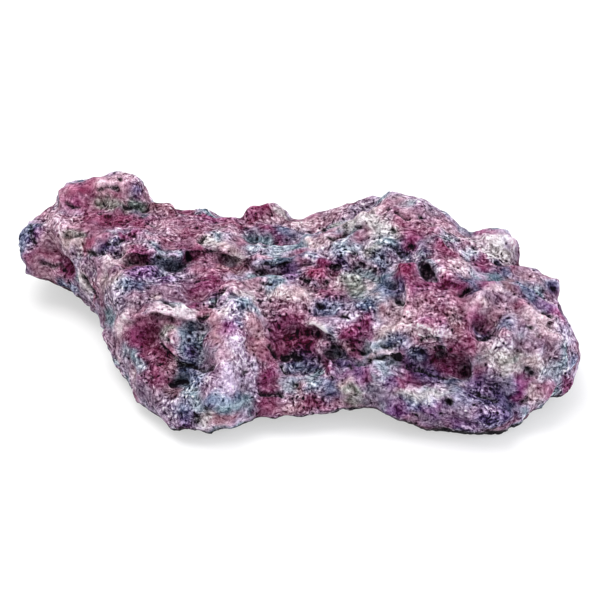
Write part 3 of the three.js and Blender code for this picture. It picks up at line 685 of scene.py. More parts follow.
# Name, path, spread and shade of each patch, as the eye sees it
PATCHES = [
    ("nose tip", [(-176, 42), (-176, 32), (-173, 23)], 7, "slate"),
    ("nose edge", [(-166, 42)], 4, "violet"),
    ("nose under", [(-169, 24), (-164, 20)], 4, "maroon"),
    ("nose side", [(-161, 30), (-154, 30)], 6, "crimson"),
    ("nose low", [(-162, 20), (-153, 17)], 7, "rose"),
    ("under nose", [(-147, 23), (-145, 18)], 5, "wine"),
    ("under arm edge", [(-150, 10), (-143, 6)], 3.5, "slate"),
    ("shoulder", [(-159, 52), (-152, 47)], 6, "rose"),
    ("shoulder right", [(-144, 51), (-140, 46)], 4.5, "rose"),
    ("shoulder low", [(-159, 39), (-153, 37)], 4.5, "rose"),
    ("brow groove", [(-147, 40), (-137, 41)], 2.5, "sage"),
    ("brow", [(-148, 35), (-140, 34)], 4.5, "peach"),
    ("brow right", [(-135, 33), (-131, 37)], 3.5, "crimson"),
    ("arm pit", [(-123, 34), (-118, 35)], 4, "navy"),
    ("knob left", [(-152, 63), (-147, 68)], 4, "rose"),
    ("knob face", [(-139, 68), (-133, 70), (-131, 64)], 8.5, "crimson"),
    ("knob rim pink", [(-112, 81)], 3.5, "pink"),
    ("knob lower", [(-143, 62), (-139, 61)], 3.5, "plum"),
    ("knob ridge", [(-135, 61), (-130, 58)], 4, "madder"),
    ("knob middle", [(-128, 71), (-118, 71)], 5, "crimson"),
    ("knob crown", [(-123, 75), (-116, 75)], 5, "pink"),
    ("knob top", [(-110, 79), (-107, 73)], 6.5, "rose"),
    ("knob spot", [(-102, 70)], 3.5, "navy"),
    ("knob side", [(-97, 69), (-96, 63)], 3.5, "rose"),
    ("under knob", [(-125, 63), (-119, 60), (-112, 59)], 4, "sage"),
    ("under knob green", [(-106, 61), (-99, 58)], 3, "moss"),
    ("arm hollow", [(-132, 51), (-125, 50), (-116, 49)], 6, "maroon"),
    ("arm rose", [(-131, 46), (-125, 41)], 4.5, "madder"),
    ("arm root", [(-111, 52), (-102, 49)], 7, "maroon"),
    ("arm root dark", [(-110, 41), (-103, 42)], 3.5, "plum"),
    ("arm root low", [(-105, 34), (-110, 32)], 4.5, "rose"),
    ("rear nub", [(-90, 59), (-83, 59)], 4.5, "brown"),
    ("flank lilac", [(-135, 22), (-127, 21)], 5, "mauve"),
    ("under arm", [(-138, 13), (-135, 9)], 4, "cream"),
    ("under arm plum", [(-139, 4), (-136, 1)], 3, "ash"),
    ("flank cream", [(-123, 10), (-115, 10)], 5, "peach"),
    ("flank ice", [(-123, 4), (-114, 1)], 5, "ash"),
    ("flank plum", [(-119, 18)], 3.5, "mauve"),
    ("lip lilac", [(-121, 25), (-111, 27)], 4, "pink"),
    ("above crevice", [(-102, 30), (-96, 28)], 4.5, "wine"),
    ("plateau left", [(-88, 48), (-83, 44)], 6, "rose"),
    ("plateau lilac", [(-88, 38), (-82, 37)], 4.5, "madder"),
    ("plateau spot", [(-96, 39)], 3, "madder"),
    ("plateau middle", [(-77, 51), (-68, 48)], 7, "madder"),
    ("plateau madder", [(-73, 42), (-65, 40)], 4.5, "madder"),
    ("plateau edge", [(-71, 54), (-63, 54)], 4, "madder"),
    ("plateau low", [(-83, 33), (-75, 33)], 5, "madder"),
    ("rear strip", [(-58, 53), (-49, 52)], 5, "plum"),
    ("plateau right", [(-49, 45), (-42, 44)], 5.5, "rose"),
    ("ledge cream", [(-59, 38), (-54, 35)], 3, "cream"),
    ("ledge cream right", [(-49, 35), (-44, 32)], 3.2, "peach"),
    ("ledge end", [(-44, 28), (-39, 27)], 3.5, "cream"),
    ("crevice", [(-90, 25), (-85, 23), (-79, 23)], 3.5, "deep teal"),
    ("crevice grey", [(-75, 24), (-78, 19)], 4, "slate"),
    ("crevice middle", [(-71, 28), (-66, 30)], 3.5, "wine"),
    ("plateau rose", [(-63, 20), (-56, 19)], 6, "madder"),
    ("under ledge", [(-59, 28), (-50, 26)], 4.5, "madder"),
    ("slope madder", [(-55, 13), (-47, 10)], 5, "maroon"),
    ("plateau brown", [(-48, 21), (-42, 19)], 4, "brown"),
    ("under crevice", [(-78, 17), (-74, 11)], 5, "ash"),
    ("arm flank", [(-102, 20), (-95, 20)], 5.5, "violet"),
    ("flank middle", [(-94, 7), (-85, 8)], 7.5, "mauve"),
    ("flank violet", [(-86, 13)], 4, "violet"),
    ("flank slate", [(-110, 10), (-100, 10)], 4, "slate"),
    ("flank mauve", [(-106, 3), (-100, 1)], 4.5, "mauve"),
    ("slope grey", [(-73, 4)], 4, "ash"),
    ("plateau plum", [(-64, 6), (-56, 6)], 6, "plum"),
    ("plateau foot", [(-67, 0), (-61, 1)], 4, "madder"),
    ("slope foot", [(-81, 2)], 4.5, "mauve"),
    ("bench spot", [(-91, 1)], 2.5, "peach"),
    ("bench", [(-90, -4), (-79, -7), (-71, -7)], 4.5, "white"),
    ("under plateau", [(-72, -3), (-67, -3)], 2.5, "plum"),
    ("flank slate low", [(-116, -5), (-107, -8), (-97, -3)], 4, "ash"),
    ("rear bump", [(-29, 56), (-21, 56)], 5.5, "maroon"),
    ("rear bump right", [(-15, 56), (-10, 54)], 3.5, "cream"),
    ("rear band", [(-24, 51), (-12, 51)], 3, "rose"),
    ("rear hollow", [(-20, 45), (-13, 41)], 4.5, "wine"),
    ("rear hollow right", [(-10, 45), (-6, 42)], 4, "slate"),
    ("rear hollow left", [(-32, 43), (-28, 44)], 3, "ash"),
    ("rear hollow edge", [(-35, 39), (-27, 38), (-19, 37)], 3.5, "teal"),
    ("right lip", [(-33, 33), (-24, 33), (-12, 34)], 3, "ice"),
    ("lip rose", [(-24, 28)], 3, "rose"),
    ("lip teal", [(-16, 29), (-11, 32)], 4, "ice"),
    ("crevice corner", [(-33, 25)], 2.5, "black"),
    ("right crevice", [(-23, 23), (-16, 23), (-6, 24)], 3.5, "deep teal"),
    ("right crevice foot", [(-21, 18), (-12, 18)], 4, "mauve"),
    ("crevice violet", [(-6, 19), (-5, 15)], 4, "violet"),
    ("crevice stone", [(-1, 30), (1, 24)], 3, "madder"),
    ("bowl rim", [(4, 39), (8, 34)], 3.2, "peach"),
    ("bowl rim right", [(14, 37), (20, 36)], 4, "pink"),
    ("saddle", [(0, 47), (8, 48)], 5, "pink"),
    ("saddle slate", [(-3, 43)], 3.5, "ash"),
    ("saddle side", [(13, 47)], 3.5, "rose"),
    ("crevice hole", [(4, 15)], 2.5, "black"),
    ("centre crimson", [(11, 19), (13, 13)], 5, "crimson"),
    ("centre wine", [(15, 23)], 3.5, "wine"),
    ("centre plum", [(5, 8), (11, 8)], 6, "ash"),
    ("centre rose", [(21, 11), (24, 6)], 4, "rose"),
    ("centre foot", [(13, 1), (21, -3)], 7, "maroon"),
    ("centre violet", [(24, -3)], 3.5, "violet"),
    ("swell", [(-42, 9), (-32, 10)], 6, "rose"),
    ("swell side", [(-24, 5)], 4, "rose"),
    ("swell grey", [(-15, 5)], 3, "cream"),
    ("swell right", [(-12, 2), (-5, -1), (3, 3)], 5.5, "peach"),
    ("spur crown", [(-39, 3), (-32, 4), (-28, 1)], 2.5, "cream"),
    ("below swell", [(-24, -3), (-12, -4), (0, -4)], 3, "mauve"),
    ("left of summit", [(18, 52), (25, 56), (30, 55)], 4, "rose"),
    ("summit sage", [(22, 48)], 2.5, "sage"),
    ("notch rose", [(20, 44), (25, 47)], 3.5, "rose"),
    ("summit shoulder", [(35, 57), (42, 59)], 5, "ash"),
    ("shoulder ice", [(32, 49), (40, 51)], 5, "cream"),
    ("summit net", [(28, 34), (33, 32)], 4.5, "ice"),
    ("summit net edge", [(21, 34), (26, 28)], 3.5, "ice"),
    ("summit pocket", [(36, 40), (41, 43)], 3.5, "madder"),
    ("summit face", [(50, 46), (58, 44), (64, 47)], 7, "cream"),
    ("summit left", [(45, 54), (49, 58)], 4.5, "cream"),
    ("summit", [(54, 62), (62, 64)], 6.5, "rose"),
    ("summit dark", [(64, 55), (66, 49)], 3.5, "maroon"),
    ("summit right", [(69, 56), (71, 52)], 4, "rose"),
    ("under summit", [(51, 37), (58, 36)], 4, "teal"),
    ("under summit sage", [(46, 32)], 4.5, "sage"),
    ("under summit slate", [(54, 28), (51, 23)], 4.5, "slate"),
    ("summit pit", [(64, 32), (66, 28)], 4, "slate"),
    ("summit pit right", [(70, 33)], 3.5, "wine"),
    ("summit edge", [(71, 44), (73, 38)], 4.5, "plum"),
    ("back plum", [(77, 45), (84, 43)], 4.5, "madder"),
    ("back lilac", [(87, 49), (95, 44), (103, 39)], 6, "rose"),
    ("back rim", [(78, 54), (83, 54)], 4.5, "mauve"),
    ("back stone", [(78, 33), (83, 30)], 4.5, "ash"),
    ("slope top", [(89, 33), (95, 30)], 5, "maroon"),
    ("slope crimson", [(90, 27), (94, 23)], 4, "madder"),
    ("hole left", [(67, 23), (70, 16)], 5, "maroon"),
    ("summit foot", [(59, 27)], 4.5, "ash"),
    ("summit foot low", [(62, 16)], 4.5, "maroon"),
    ("bowl slate", [(42, 20), (39, 16)], 4, "teal"),
    ("bowl", [(32, 13), (37, 8)], 5.5, "sage"),
    ("bowl pit", [(24, 23), (29, 21)], 3.5, "navy"),
    ("bowl crease", [(32, 27), (40, 22), (49, 18)], 2.5, "mauve"),
    ("bowl rim pale", [(45, 9), (48, 3)], 3, "peach"),
    ("bowl right", [(53, 9), (58, 6)], 5, "slate"),
    ("bowl right dark", [(63, 8)], 3.5, "navy"),
    ("bowl foot", [(28, -2), (35, -2)], 5, "ash"),
    ("bowl foot violet", [(41, -4), (46, -3)], 4, "slate"),
    ("rib thin", [(69, 7), (70, 0)], 2.5, "pink"),
    ("rib lilac", [(74, 6), (75, -2)], 4, "plum"),
    ("black hole", [(80, 22), (83, 15)], 2.8, "black"),
    ("hole shelf", [(81, 8), (89, 8)], 5, "wine"),
    ("hole shelf right", [(92, 13), (96, 9)], 3.5, "wine"),
    ("hole rim", [(90, 18)], 2.5, "pink"),
    ("slope stone", [(100, 19), (103, 24)], 4, "pink"),
    ("slope strip", [(111, 24), (116, 21)], 4.5, "plum"),
    ("slope ice", [(107, 27), (111, 30)], 3.5, "ice"),
    ("right knob", [(116, 46), (121, 42)], 4, "plum"),
    ("knob pale", [(118, 37), (126, 37), (129, 32)], 6, "white"),
    ("knob pale low", [(123, 29), (131, 31)], 5, "cream"),
    ("knob edge", [(133, 33)], 2, "lilac"),
    ("knob edge right", [(136, 36)], 2.5, "pink"),
    ("knob foot", [(125, 23)], 2.5, "slate"),
    ("knob foot slate", [(128, 19), (128, 15)], 3, "slate"),
    ("end fold", [(133, 13), (134, 8)], 3.5, "brown"),
    ("second hole", [(107, 11), (110, 6)], 4.5, "slate"),
    ("second hole left", [(103, 9), (104, 4)], 3, "wine"),
    ("second hole right", [(117, 10)], 4, "plum"),
    ("slope grey right", [(100, 0), (104, -2)], 4, "madder"),
    ("lobe ring", [(118, 5), (123, 7), (126, 6)], 3, "pink"),
    ("lobe violet", [(118, 1), (126, -1)], 4.5, "mauve"),
    ("end hollow", [(142, 8), (147, 4)], 5, "slate"),
    ("end rim", [(142, 15), (149, 13)], 4.5, "rose"),
    ("end nub rim", [(156, 16)], 2.5, "rose"),
    ("end nub", [(159, 9), (162, 6)], 3, "navy"),
    ("end edge", [(157, 2), (164, 0)], 4, "mauve"),
    ("end slate", [(155, -3), (159, -8)], 3.5, "violet"),
    ("end plum", [(164, -9)], 3.5, "plum"),
    ("lobe rim", [(107, -7), (113, -3)], 4, "peach"),
    ("lobe hollow", [(109, -11), (114, -16)], 5, "plum"),
    ("lobe hollow low", [(112, -21), (117, -23)], 3.5, "navy"),
    ("lobe", [(126, -10), (128, -19)], 5.5, "rose"),
    ("lobe slate", [(131, -14)], 3.5, "slate"),
    ("lobe pale", [(145, -7), (152, -11)], 4.5, "pink"),
    ("lobe grey", [(149, -21)], 4, "pink"),
    ("lobe back", [(157, -16), (162, -23)], 5.5, "pink"),
    ("lobe edge lilac", [(166, -20), (171, -23)], 4, "lilac"),
    ("right slope", [(82, 0), (88, -6), (96, -2)], 7, "madder"),
    ("right slope low", [(95, -11), (99, -16)], 5, "brown"),
    ("slope lilac", [(76, -4), (73, -9)], 4, "rose"),
    ("slope violet", [(80, -14), (87, -14)], 3.5, "plum"),
    ("rib spots", [(53, -6)], 3.5, "brown"),
    ("pale rib", [(60, -4), (64, -10), (68, -16)], 4.5, "pink"),
    ("rib foot", [(54, -19), (59, -20)], 3.5, "peach"),
    ("rib sage", [(51, -24), (56, -25)], 3.5, "peach"),
    ("slope ridge", [(73, -19), (83, -19)], 3.5, "pink"),
    ("slope ridge right", [(92, -23), (101, -25), (111, -28)], 2, "pink"),
    ("hollow brow", [(-20, -8), (-12, -7), (-1, -9)], 5, "rose"),
    ("great hollow", [(-10, -17), (1, -20)], 7.5, "wine"),
    ("great hollow left", [(-15, -20), (-16, -27)], 5, "plum"),
    ("great hollow low", [(-6, -28), (-10, -32)], 6, "maroon"),
    ("hollow dark", [(-6, -36), (0, -37)], 3, "wine"),
    ("hollow right", [(3, -28), (8, -33)], 4, "wine"),
    ("hollow foot", [(4, -39), (9, -39)], 4.5, "navy"),
    ("hollow floor", [(-6, -42)], 4.5, "slate"),
    ("hollow slate", [(1, -43)], 3, "slate"),
    ("hollow sill", [(5, -51), (8, -54)], 3.5, "teal"),
    ("hollow sill left", [(-6, -54)], 4, "ice"),
    ("hollow sill brown", [(0, -56)], 3, "brown"),
    ("eyebrow slate", [(14, -6), (21, -8)], 5, "slate"),
    ("eyebrow teal", [(16, -14), (21, -15)], 4, "ash"),
    ("pale eyebrow", [(6, -15), (12, -18)], 3, "white"),
    ("pale eyebrow right", [(16, -19), (23, -19)], 2.5, "ice"),
    ("under eyebrow", [(20, -23)], 3.5, "ice"),
    ("eyebrow brown", [(29, -21), (35, -20)], 5, "wine"),
    ("link wine", [(33, -27), (37, -30)], 5, "wine"),
    ("link maroon", [(28, -30)], 3.5, "brown"),
    ("link hole", [(21, -30)], 1.6, "black"),
    ("link post", [(20, -34), (21, -42)], 4, "ice"),
    ("link foot", [(24, -39), (29, -40)], 4, "navy"),
    ("link foot left", [(17, -39), (18, -44)], 3.5, "wine"),
    ("centre stripe", [(42, -14), (42, -22)], 3.5, "plum"),
    ("wedge", [(43, -29), (49, -28)], 3.5, "ice"),
    ("wedge right", [(57, -27), (64, -27)], 4, "slate"),
    ("wedge pink", [(44, -35), (56, -33)], 2.5, "pink"),
    ("ledge low", [(51, -41), (56, -39)], 3.5, "ice"),
    ("ledge ice", [(54, -46), (56, -50)], 4, "ice"),
    ("ledge rose", [(43, -49)], 4, "plum"),
    ("ledge lilac", [(35, -47), (30, -51)], 5, "violet"),
    ("ledge magenta", [(68, -40)], 3.5, "violet"),
    ("ledge plum", [(66, -52), (71, -48)], 5, "plum"),
    ("ledge violet", [(57, -55)], 3.5, "violet"),
    ("right hollow top", [(82, -27)], 3.5, "rose"),
    ("right hollow pit", [(87, -32)], 3, "wine"),
    ("right hollow", [(80, -37), (88, -39), (98, -37)], 6, "maroon"),
    ("right hollow right", [(101, -32), (108, -30)], 5, "maroon"),
    ("right hollow low", [(95, -43), (105, -44)], 4.5, "plum"),
    ("hollow left", [(71, -33), (73, -35)], 4, "slate"),
    ("hollow slope", [(77, -46), (83, -49)], 5, "navy"),
    ("gully dark", [(95, -50), (99, -54)], 4, "deep teal"),
    ("gully pink", [(104, -54)], 4, "pink"),
    ("gully brown", [(114, -45)], 3.5, "maroon"),
    ("gully violet", [(110, -54), (117, -53)], 4.5, "violet"),
    ("gully slate", [(121, -53), (128, -56)], 4.5, "ash"),
    ("gully", [(112, -61), (121, -64), (130, -66)], 7, "navy"),
    ("gully end", [(140, -50), (138, -56), (137, -61)], 3, "magenta"),
    ("toe ledge pale", [(66, -61), (79, -61), (89, -59)], 3.5, "cream"),
    ("toe ledge pink", [(76, -64), (84, -65)], 2.5, "ice"),
    ("toe pit", [(94, -64)], 2.5, "black"),
    ("toe ice", [(98, -66), (105, -68)], 3, "slate"),
    ("toe slate", [(66, -66), (75, -68)], 3.5, "slate"),
    ("toe plum", [(58, -71), (64, -70)], 4.5, "violet"),
    ("toe violet", [(81, -71), (87, -70)], 5, "violet"),
    ("toe mauve", [(95, -72), (102, -71)], 4.5, "ash"),
    ("toe low", [(98, -76), (108, -78)], 4.5, "violet"),
    ("toe low left", [(76, -76), (86, -78)], 4.5, "ash"),
    ("right foot pale", [(111, -71), (120, -71)], 4, "mauve"),
    ("right foot", [(116, -76), (126, -76)], 5, "navy"),
    ("lobe white", [(118, -34), (126, -38)], 5, "white"),
    ("lobe sage", [(133, -39), (140, -35)], 4.5, "sage"),
    ("lobe low pale", [(131, -46), (138, -43)], 4, "cream"),
    ("lobe peach", [(139, -28), (146, -28)], 4.5, "mauve"),
    ("lobe dark", [(145, -44)], 2.5, "deep teal"),
    ("lobe rose", [(149, -39), (154, -43)], 4.5, "peach"),
    ("lobe outer violet", [(159, -32), (162, -36)], 4, "mauve"),
    ("lobe edge", [(168, -31), (167, -39)], 4, "teal"),
    ("lobe edge plum", [(173, -41)], 3.5, "slate"),
    ("outer ice", [(155, -46), (164, -46)], 4.5, "ice"),
    ("outer peach", [(147, -56), (149, -59)], 4, "peach"),
    ("outer foot", [(155, -54), (159, -56)], 4.5, "madder"),
    ("outer plum", [(167, -53), (169, -58)], 4.5, "plum"),
    ("flank edge", [(-122, -24), (-118, -29)], 5, "mauve"),
    ("flank edge top", [(-126, -11), (-124, -15)], 3.5, "mauve"),
    ("flank teal", [(-122, -10), (-118, -13)], 4, "teal"),
    ("bench left", [(-114, -16), (-109, -11)], 4.5, "white"),
    ("bench rose", [(-102, -10), (-94, -9)], 4, "white"),
    ("left hollow", [(-97, -16), (-95, -24), (-95, -32)], 8, "maroon"),
    ("left hollow left", [(-105, -21), (-104, -28)], 4.5, "plum"),
    ("left hollow low", [(-92, -35), (-95, -39)], 4.5, "madder"),
    ("left floor", [(-90, -42), (-95, -49), (-90, -51)], 7, "maroon"),
    ("left floor right", [(-81, -42)], 4, "brown"),
    ("left rim teal", [(-110, -32), (-106, -36), (-102, -40)], 3.5, "teal"),
    ("left rim ash", [(-112, -40), (-109, -42)], 4, "ash"),
    ("left rim ice", [(-100, -42)], 2.5, "ice"),
    ("left rim pink", [(-115, -35)], 2.5, "pink"),
    ("above lump", [(-83, -14), (-75, -15)], 3.5, "madder"),
    ("left lump", [(-86, -21), (-82, -19)], 3.5, "sage"),
    ("left lump rose", [(-80, -25)], 3.5, "rose"),
    ("slot rim", [(-72, -18), (-73, -23)], 3, "ice"),
    ("slot", [(-68, -18), (-68, -28)], 4, "deep teal"),
    ("slot low", [(-70, -34)], 4, "navy"),
    ("slot foot", [(-75, -40), (-71, -42)], 3, "slate"),
    ("left edge pink", [(-105, -48), (-104, -53)], 3.5, "pink"),
    ("heel ash", [(-99, -58), (-94, -63)], 7, "ash"),
    ("heel brown", [(-84, -59), (-78, -62)], 5, "brown"),
    ("heel plum", [(-86, -66), (-82, -71)], 4.5, "ash"),
    ("low slot", [(-73, -54), (-68, -55)], 3.5, "teal"),
    ("low slot pale", [(-73, -58), (-68, -59)], 3, "ice"),
    ("beyond slot", [(-73, -47), (-64, -49)], 4.5, "slate"),
    ("toe teal", [(-67, -65), (-63, -68)], 4.5, "teal"),
    ("toe grey", [(-75, -70)], 4.5, "slate"),
    ("toe tip", [(-72, -76), (-66, -76)], 4, "navy"),
    ("toe pale", [(-61, -76), (-58, -73)], 3.5, "cream"),
    ("toe rim ice", [(-57, -64), (-51, -66)], 4, "slate"),
    ("front salmon", [(-51, -76), (-45, -75)], 3.5, "salmon"),
    ("spur left", [(-54, -11), (-53, -18), (-52, -27)], 4.5, "salmon"),
    ("spur left pale", [(-60, -17)], 3.5, "lilac"),
    ("spur left grey", [(-59, -32), (-56, -35)], 4.5, "ash"),
    ("spur", [(-46, -3), (-42, -9)], 6, "lilac"),
    ("spur white", [(-49, -8)], 3, "white"),
    ("spur spot", [(-44, -16)], 3.5, "magenta"),
    ("spur slate", [(-37, -14)], 3, "slate"),
    ("spur middle", [(-40, -25), (-37, -32)], 6, "lilac"),
    ("spur peach", [(-44, -37)], 5, "pink"),
    ("spur foot", [(-46, -46), (-44, -54)], 6.5, "lilac"),
    ("spur foot left", [(-54, -44)], 4, "mauve"),
    ("spur side", [(-30, -14), (-27, -21)], 4.5, "salmon"),
    ("spur side low", [(-29, -31), (-24, -28)], 4.5, "salmon"),
    ("spur violet", [(-32, -49), (-28, -54)], 5, "lilac"),
    ("spur plum", [(-20, -47), (-21, -55)], 4.5, "plum"),
    ("spur foot teal", [(-39, -62), (-44, -66)], 4, "slate"),
    ("spur foot ice", [(-33, -64), (-48, -68)], 3.5, "teal"),
    ("front crimson", [(-25, -70), (-17, -68)], 4.5, "maroon"),
    ("front maroon", [(-8, -68), (1, -66)], 4.5, "brown"),
    ("front brown", [(8, -63), (16, -64)], 5, "maroon"),
    ("front rose", [(25, -66)], 4, "madder"),
    ("front sage", [(34, -64), (39, -63)], 4.5, "sage"),
    ("front right", [(45, -64), (49, -61)], 4.5, "ash"),
    ("front slate", [(19, -56)], 5, "slate"),
    ("front cream", [(28, -54), (31, -52)], 3, "peach"),
    ("front moss", [(29, -57), (37, -57)], 2.5, "sage"),
]

# A patch's share of the shade is strength * exp(-(distance / (reach * spread))^edge)
PATCH_STRENGTH = 0.9
PATCH_REACH = 1.5
PATCH_EDGE = 2.5

# Under the patches the shade wanders between these by two noises, each an amount, a size and a seed
BASE_SHADES = ["plum", "madder", "mauve", "lilac", "teal", "slate"]
BASE_MIDDLE = 0.5
BASE_WANDER = [(0.55, 26, 101), (0.3, 9, 102)]

# Small blots over the patches: spacing, strength and seed. They fade out as the patches do.
BLOTS = [(9, 0.16, 111), (5, 0.1, 113)]
BLOT_SHADES = ["wine", "plum", "rose", "pink", "lilac", "ice", "cream", "teal", "slate", "navy", "violet"]
BLOT_REACH = 0.42
BLOT_EDGE = 3

# The crust is calm where red outweighs green by more than the first, and wholly so by the second beyond it
CALM_FROM = 0.09
CALM_RANGE = 0.16

# Painted highlight on crests and painted shade in hollows, at two sizes: times of smoothing, painted light
# for each millimetre, and limits
CREST_PAINTED_LIGHT = [(6, 0.1, -2.4, 1), (60, 0.027, -7, 3.5)]

# Painted shade where the wall turns down, less so higher up, and a painted shadow close to the ground
UNDER_SMOOTHING = 4
UNDER_PAINTED_SHADE = 4
UNDER_MOST = 0.8
UNDER_HEIGHT = 12
GROUND_SHADOW_HEIGHT = 2
PAINTED_SHADING_LIMITS = (0.12, 1.3)

# Limits of the coat's colour and the display's gamma
DARKEST = (0.09, 0.07, 0.1)
PALEST = (0.93, 0.91, 0.92)
DISPLAY_GAMMA = 2.2

# The light that each feature of the coat adds where it is strongest, on the display's scale from 0 to 1
FINE_LIGHT = {"strokes": 0.1, "cross strokes": 0.08, "chips": 0.11, "small chips": 0.1, "flecks": 0.27,
              "pits": -0.46, "small pits": -0.22}
WIDE_LIGHT = {"mottle": 0.03, "flakes": 0.05, "pale lines": 0.18}
LIGHT_OFFSET = -0.072

# How far each fine feature stands up, as a share of the bump's height in millimetres
COAT_RELIEF = {"flakes": 0.2, "strokes": 0.2, "cross strokes": 0.15, "chips": 0.2, "small chips": 0.12,
               "flecks": 0.35, "pale lines": 0.3, "pits": -0.7, "small pits": -0.45}
BUMP_HEIGHT = 0.6

# Size and amount of the swirl that bends the fine features, and the two ways that they are drawn out
SWIRL_SIZE = 10
SWIRL_AMOUNT = (6, 6, 6)
STROKE_WAY = {"Rotation": (0, -0.4, 0.2), "Scale": (0.55, 1.0, 1.0)}
CROSS_WAY = {"Rotation": (0.3, 0.9, -0.4), "Location": (40, 10, 70), "Scale": (1.0, 0.55, 0.55)}

# How strong the fine light is: the limits over the rock, and on a rough crust and a calm one
ROUGH_LIMITS = (0.6, 1.25)
ROUGH_CRUST = 1.18
CALM_CRUST = 0.64

# Where a noise node's values lie, where a wide noise lets the pale lines in, and the flat share of a spot
NOISE_SPAN = (0.25, 0.75)
LINES_FADE_IN = (-0.3, 0.4)
SPOT_FLAT = 0.3

# The floor's shade, glow and half width in metres, and the strength of the room's white light
FLOOR_SHADE = (188, 188, 188)
FLOOR_GLOW = 0.5
FLOOR_HALF = 3.0
ROOM_LIGHT = 0.8


def linear(shade):
    """An 8-bit sRGB shade as the linear colour that shaders use."""
    s = np.array(shade) / 255
    return np.where(s <= 0.04045, s / 12.92, ((s + 0.055) / 1.055) ** 2.4)


def coat_shades(p):
    """The shade at each point: noise picks a base shade, and patches and blots draw it to their own."""
    seen = view(p)
    w = drifted(p, COAT_DRIFT)
    last = len(BASE_SHADES) - 1
    choice = last * np.clip(sum((layer(noise, w, numbers) for numbers in BASE_WANDER), BASE_MIDDLE), 0, 1)
    table = np.array([SHADES[name] for name in BASE_SHADES], float)
    blots = np.array([SHADES[name] for name in BLOT_SHADES], float)
    steps = np.arange(last + 1)
    shade = np.stack([np.interp(choice, steps, table[:, channel]) for channel in range(3)], -1)
    for _, path, spread, name in PATCHES:
        distance = np.linalg.norm(way_off(w, placed(path, p, seen)), axis=-1)
        share = PATCH_STRENGTH * np.exp(-(distance / (PATCH_REACH * spread)) ** PATCH_EDGE)
        shade = shade + share[..., None] * (np.array(SHADES[name]) - shade)
    for spacing, strength, seed in BLOTS:
        distance, own = scattered(w, spacing, seed)
        blot = blots[(own * len(blots)).astype(int)]
        share = strength * np.exp(-(distance / (BLOT_REACH * spacing)) ** BLOT_EDGE)
        shade = shade + share[..., None] * (blot - shade)
    return shade / 255


def calmness(shades):
    """From 0 to 1, how smooth the crust is: the redder its shade, the smoother."""
    return np.clip((shades[..., 0] - shades[..., 1] - CALM_FROM) / CALM_RANGE, 0, 1)


def coat_painted_shading(p, dark):
    """The coat's painted light and shade at each point: 1, plus a painted highlight on crests, less painted
    shade in hollows, pits, cracks, under overhangs and near the ground.
    """
    crest_light_and_shade = 0
    for times, painted_shading, lowest, highest in CREST_PAINTED_LIGHT:
        crest_light_and_shade = crest_light_and_shade + painted_shading * np.clip(standing_out(p, times), lowest, highest)
    # Painted shade under overhangs and a painted shadow along the ground
    turned_down = np.clip(-normals(smoothed(p, UNDER_SMOOTHING))[..., 2], 0, UNDER_MOST)
    height = p[..., 2]
    under = UNDER_PAINTED_SHADE * turned_down**2 * np.exp(-height / UNDER_HEIGHT) + np.exp(-height / GROUND_SHADOW_HEIGHT)
    return np.clip(1 + crest_light_and_shade - dark - under, *PAINTED_SHADING_LIMITS)


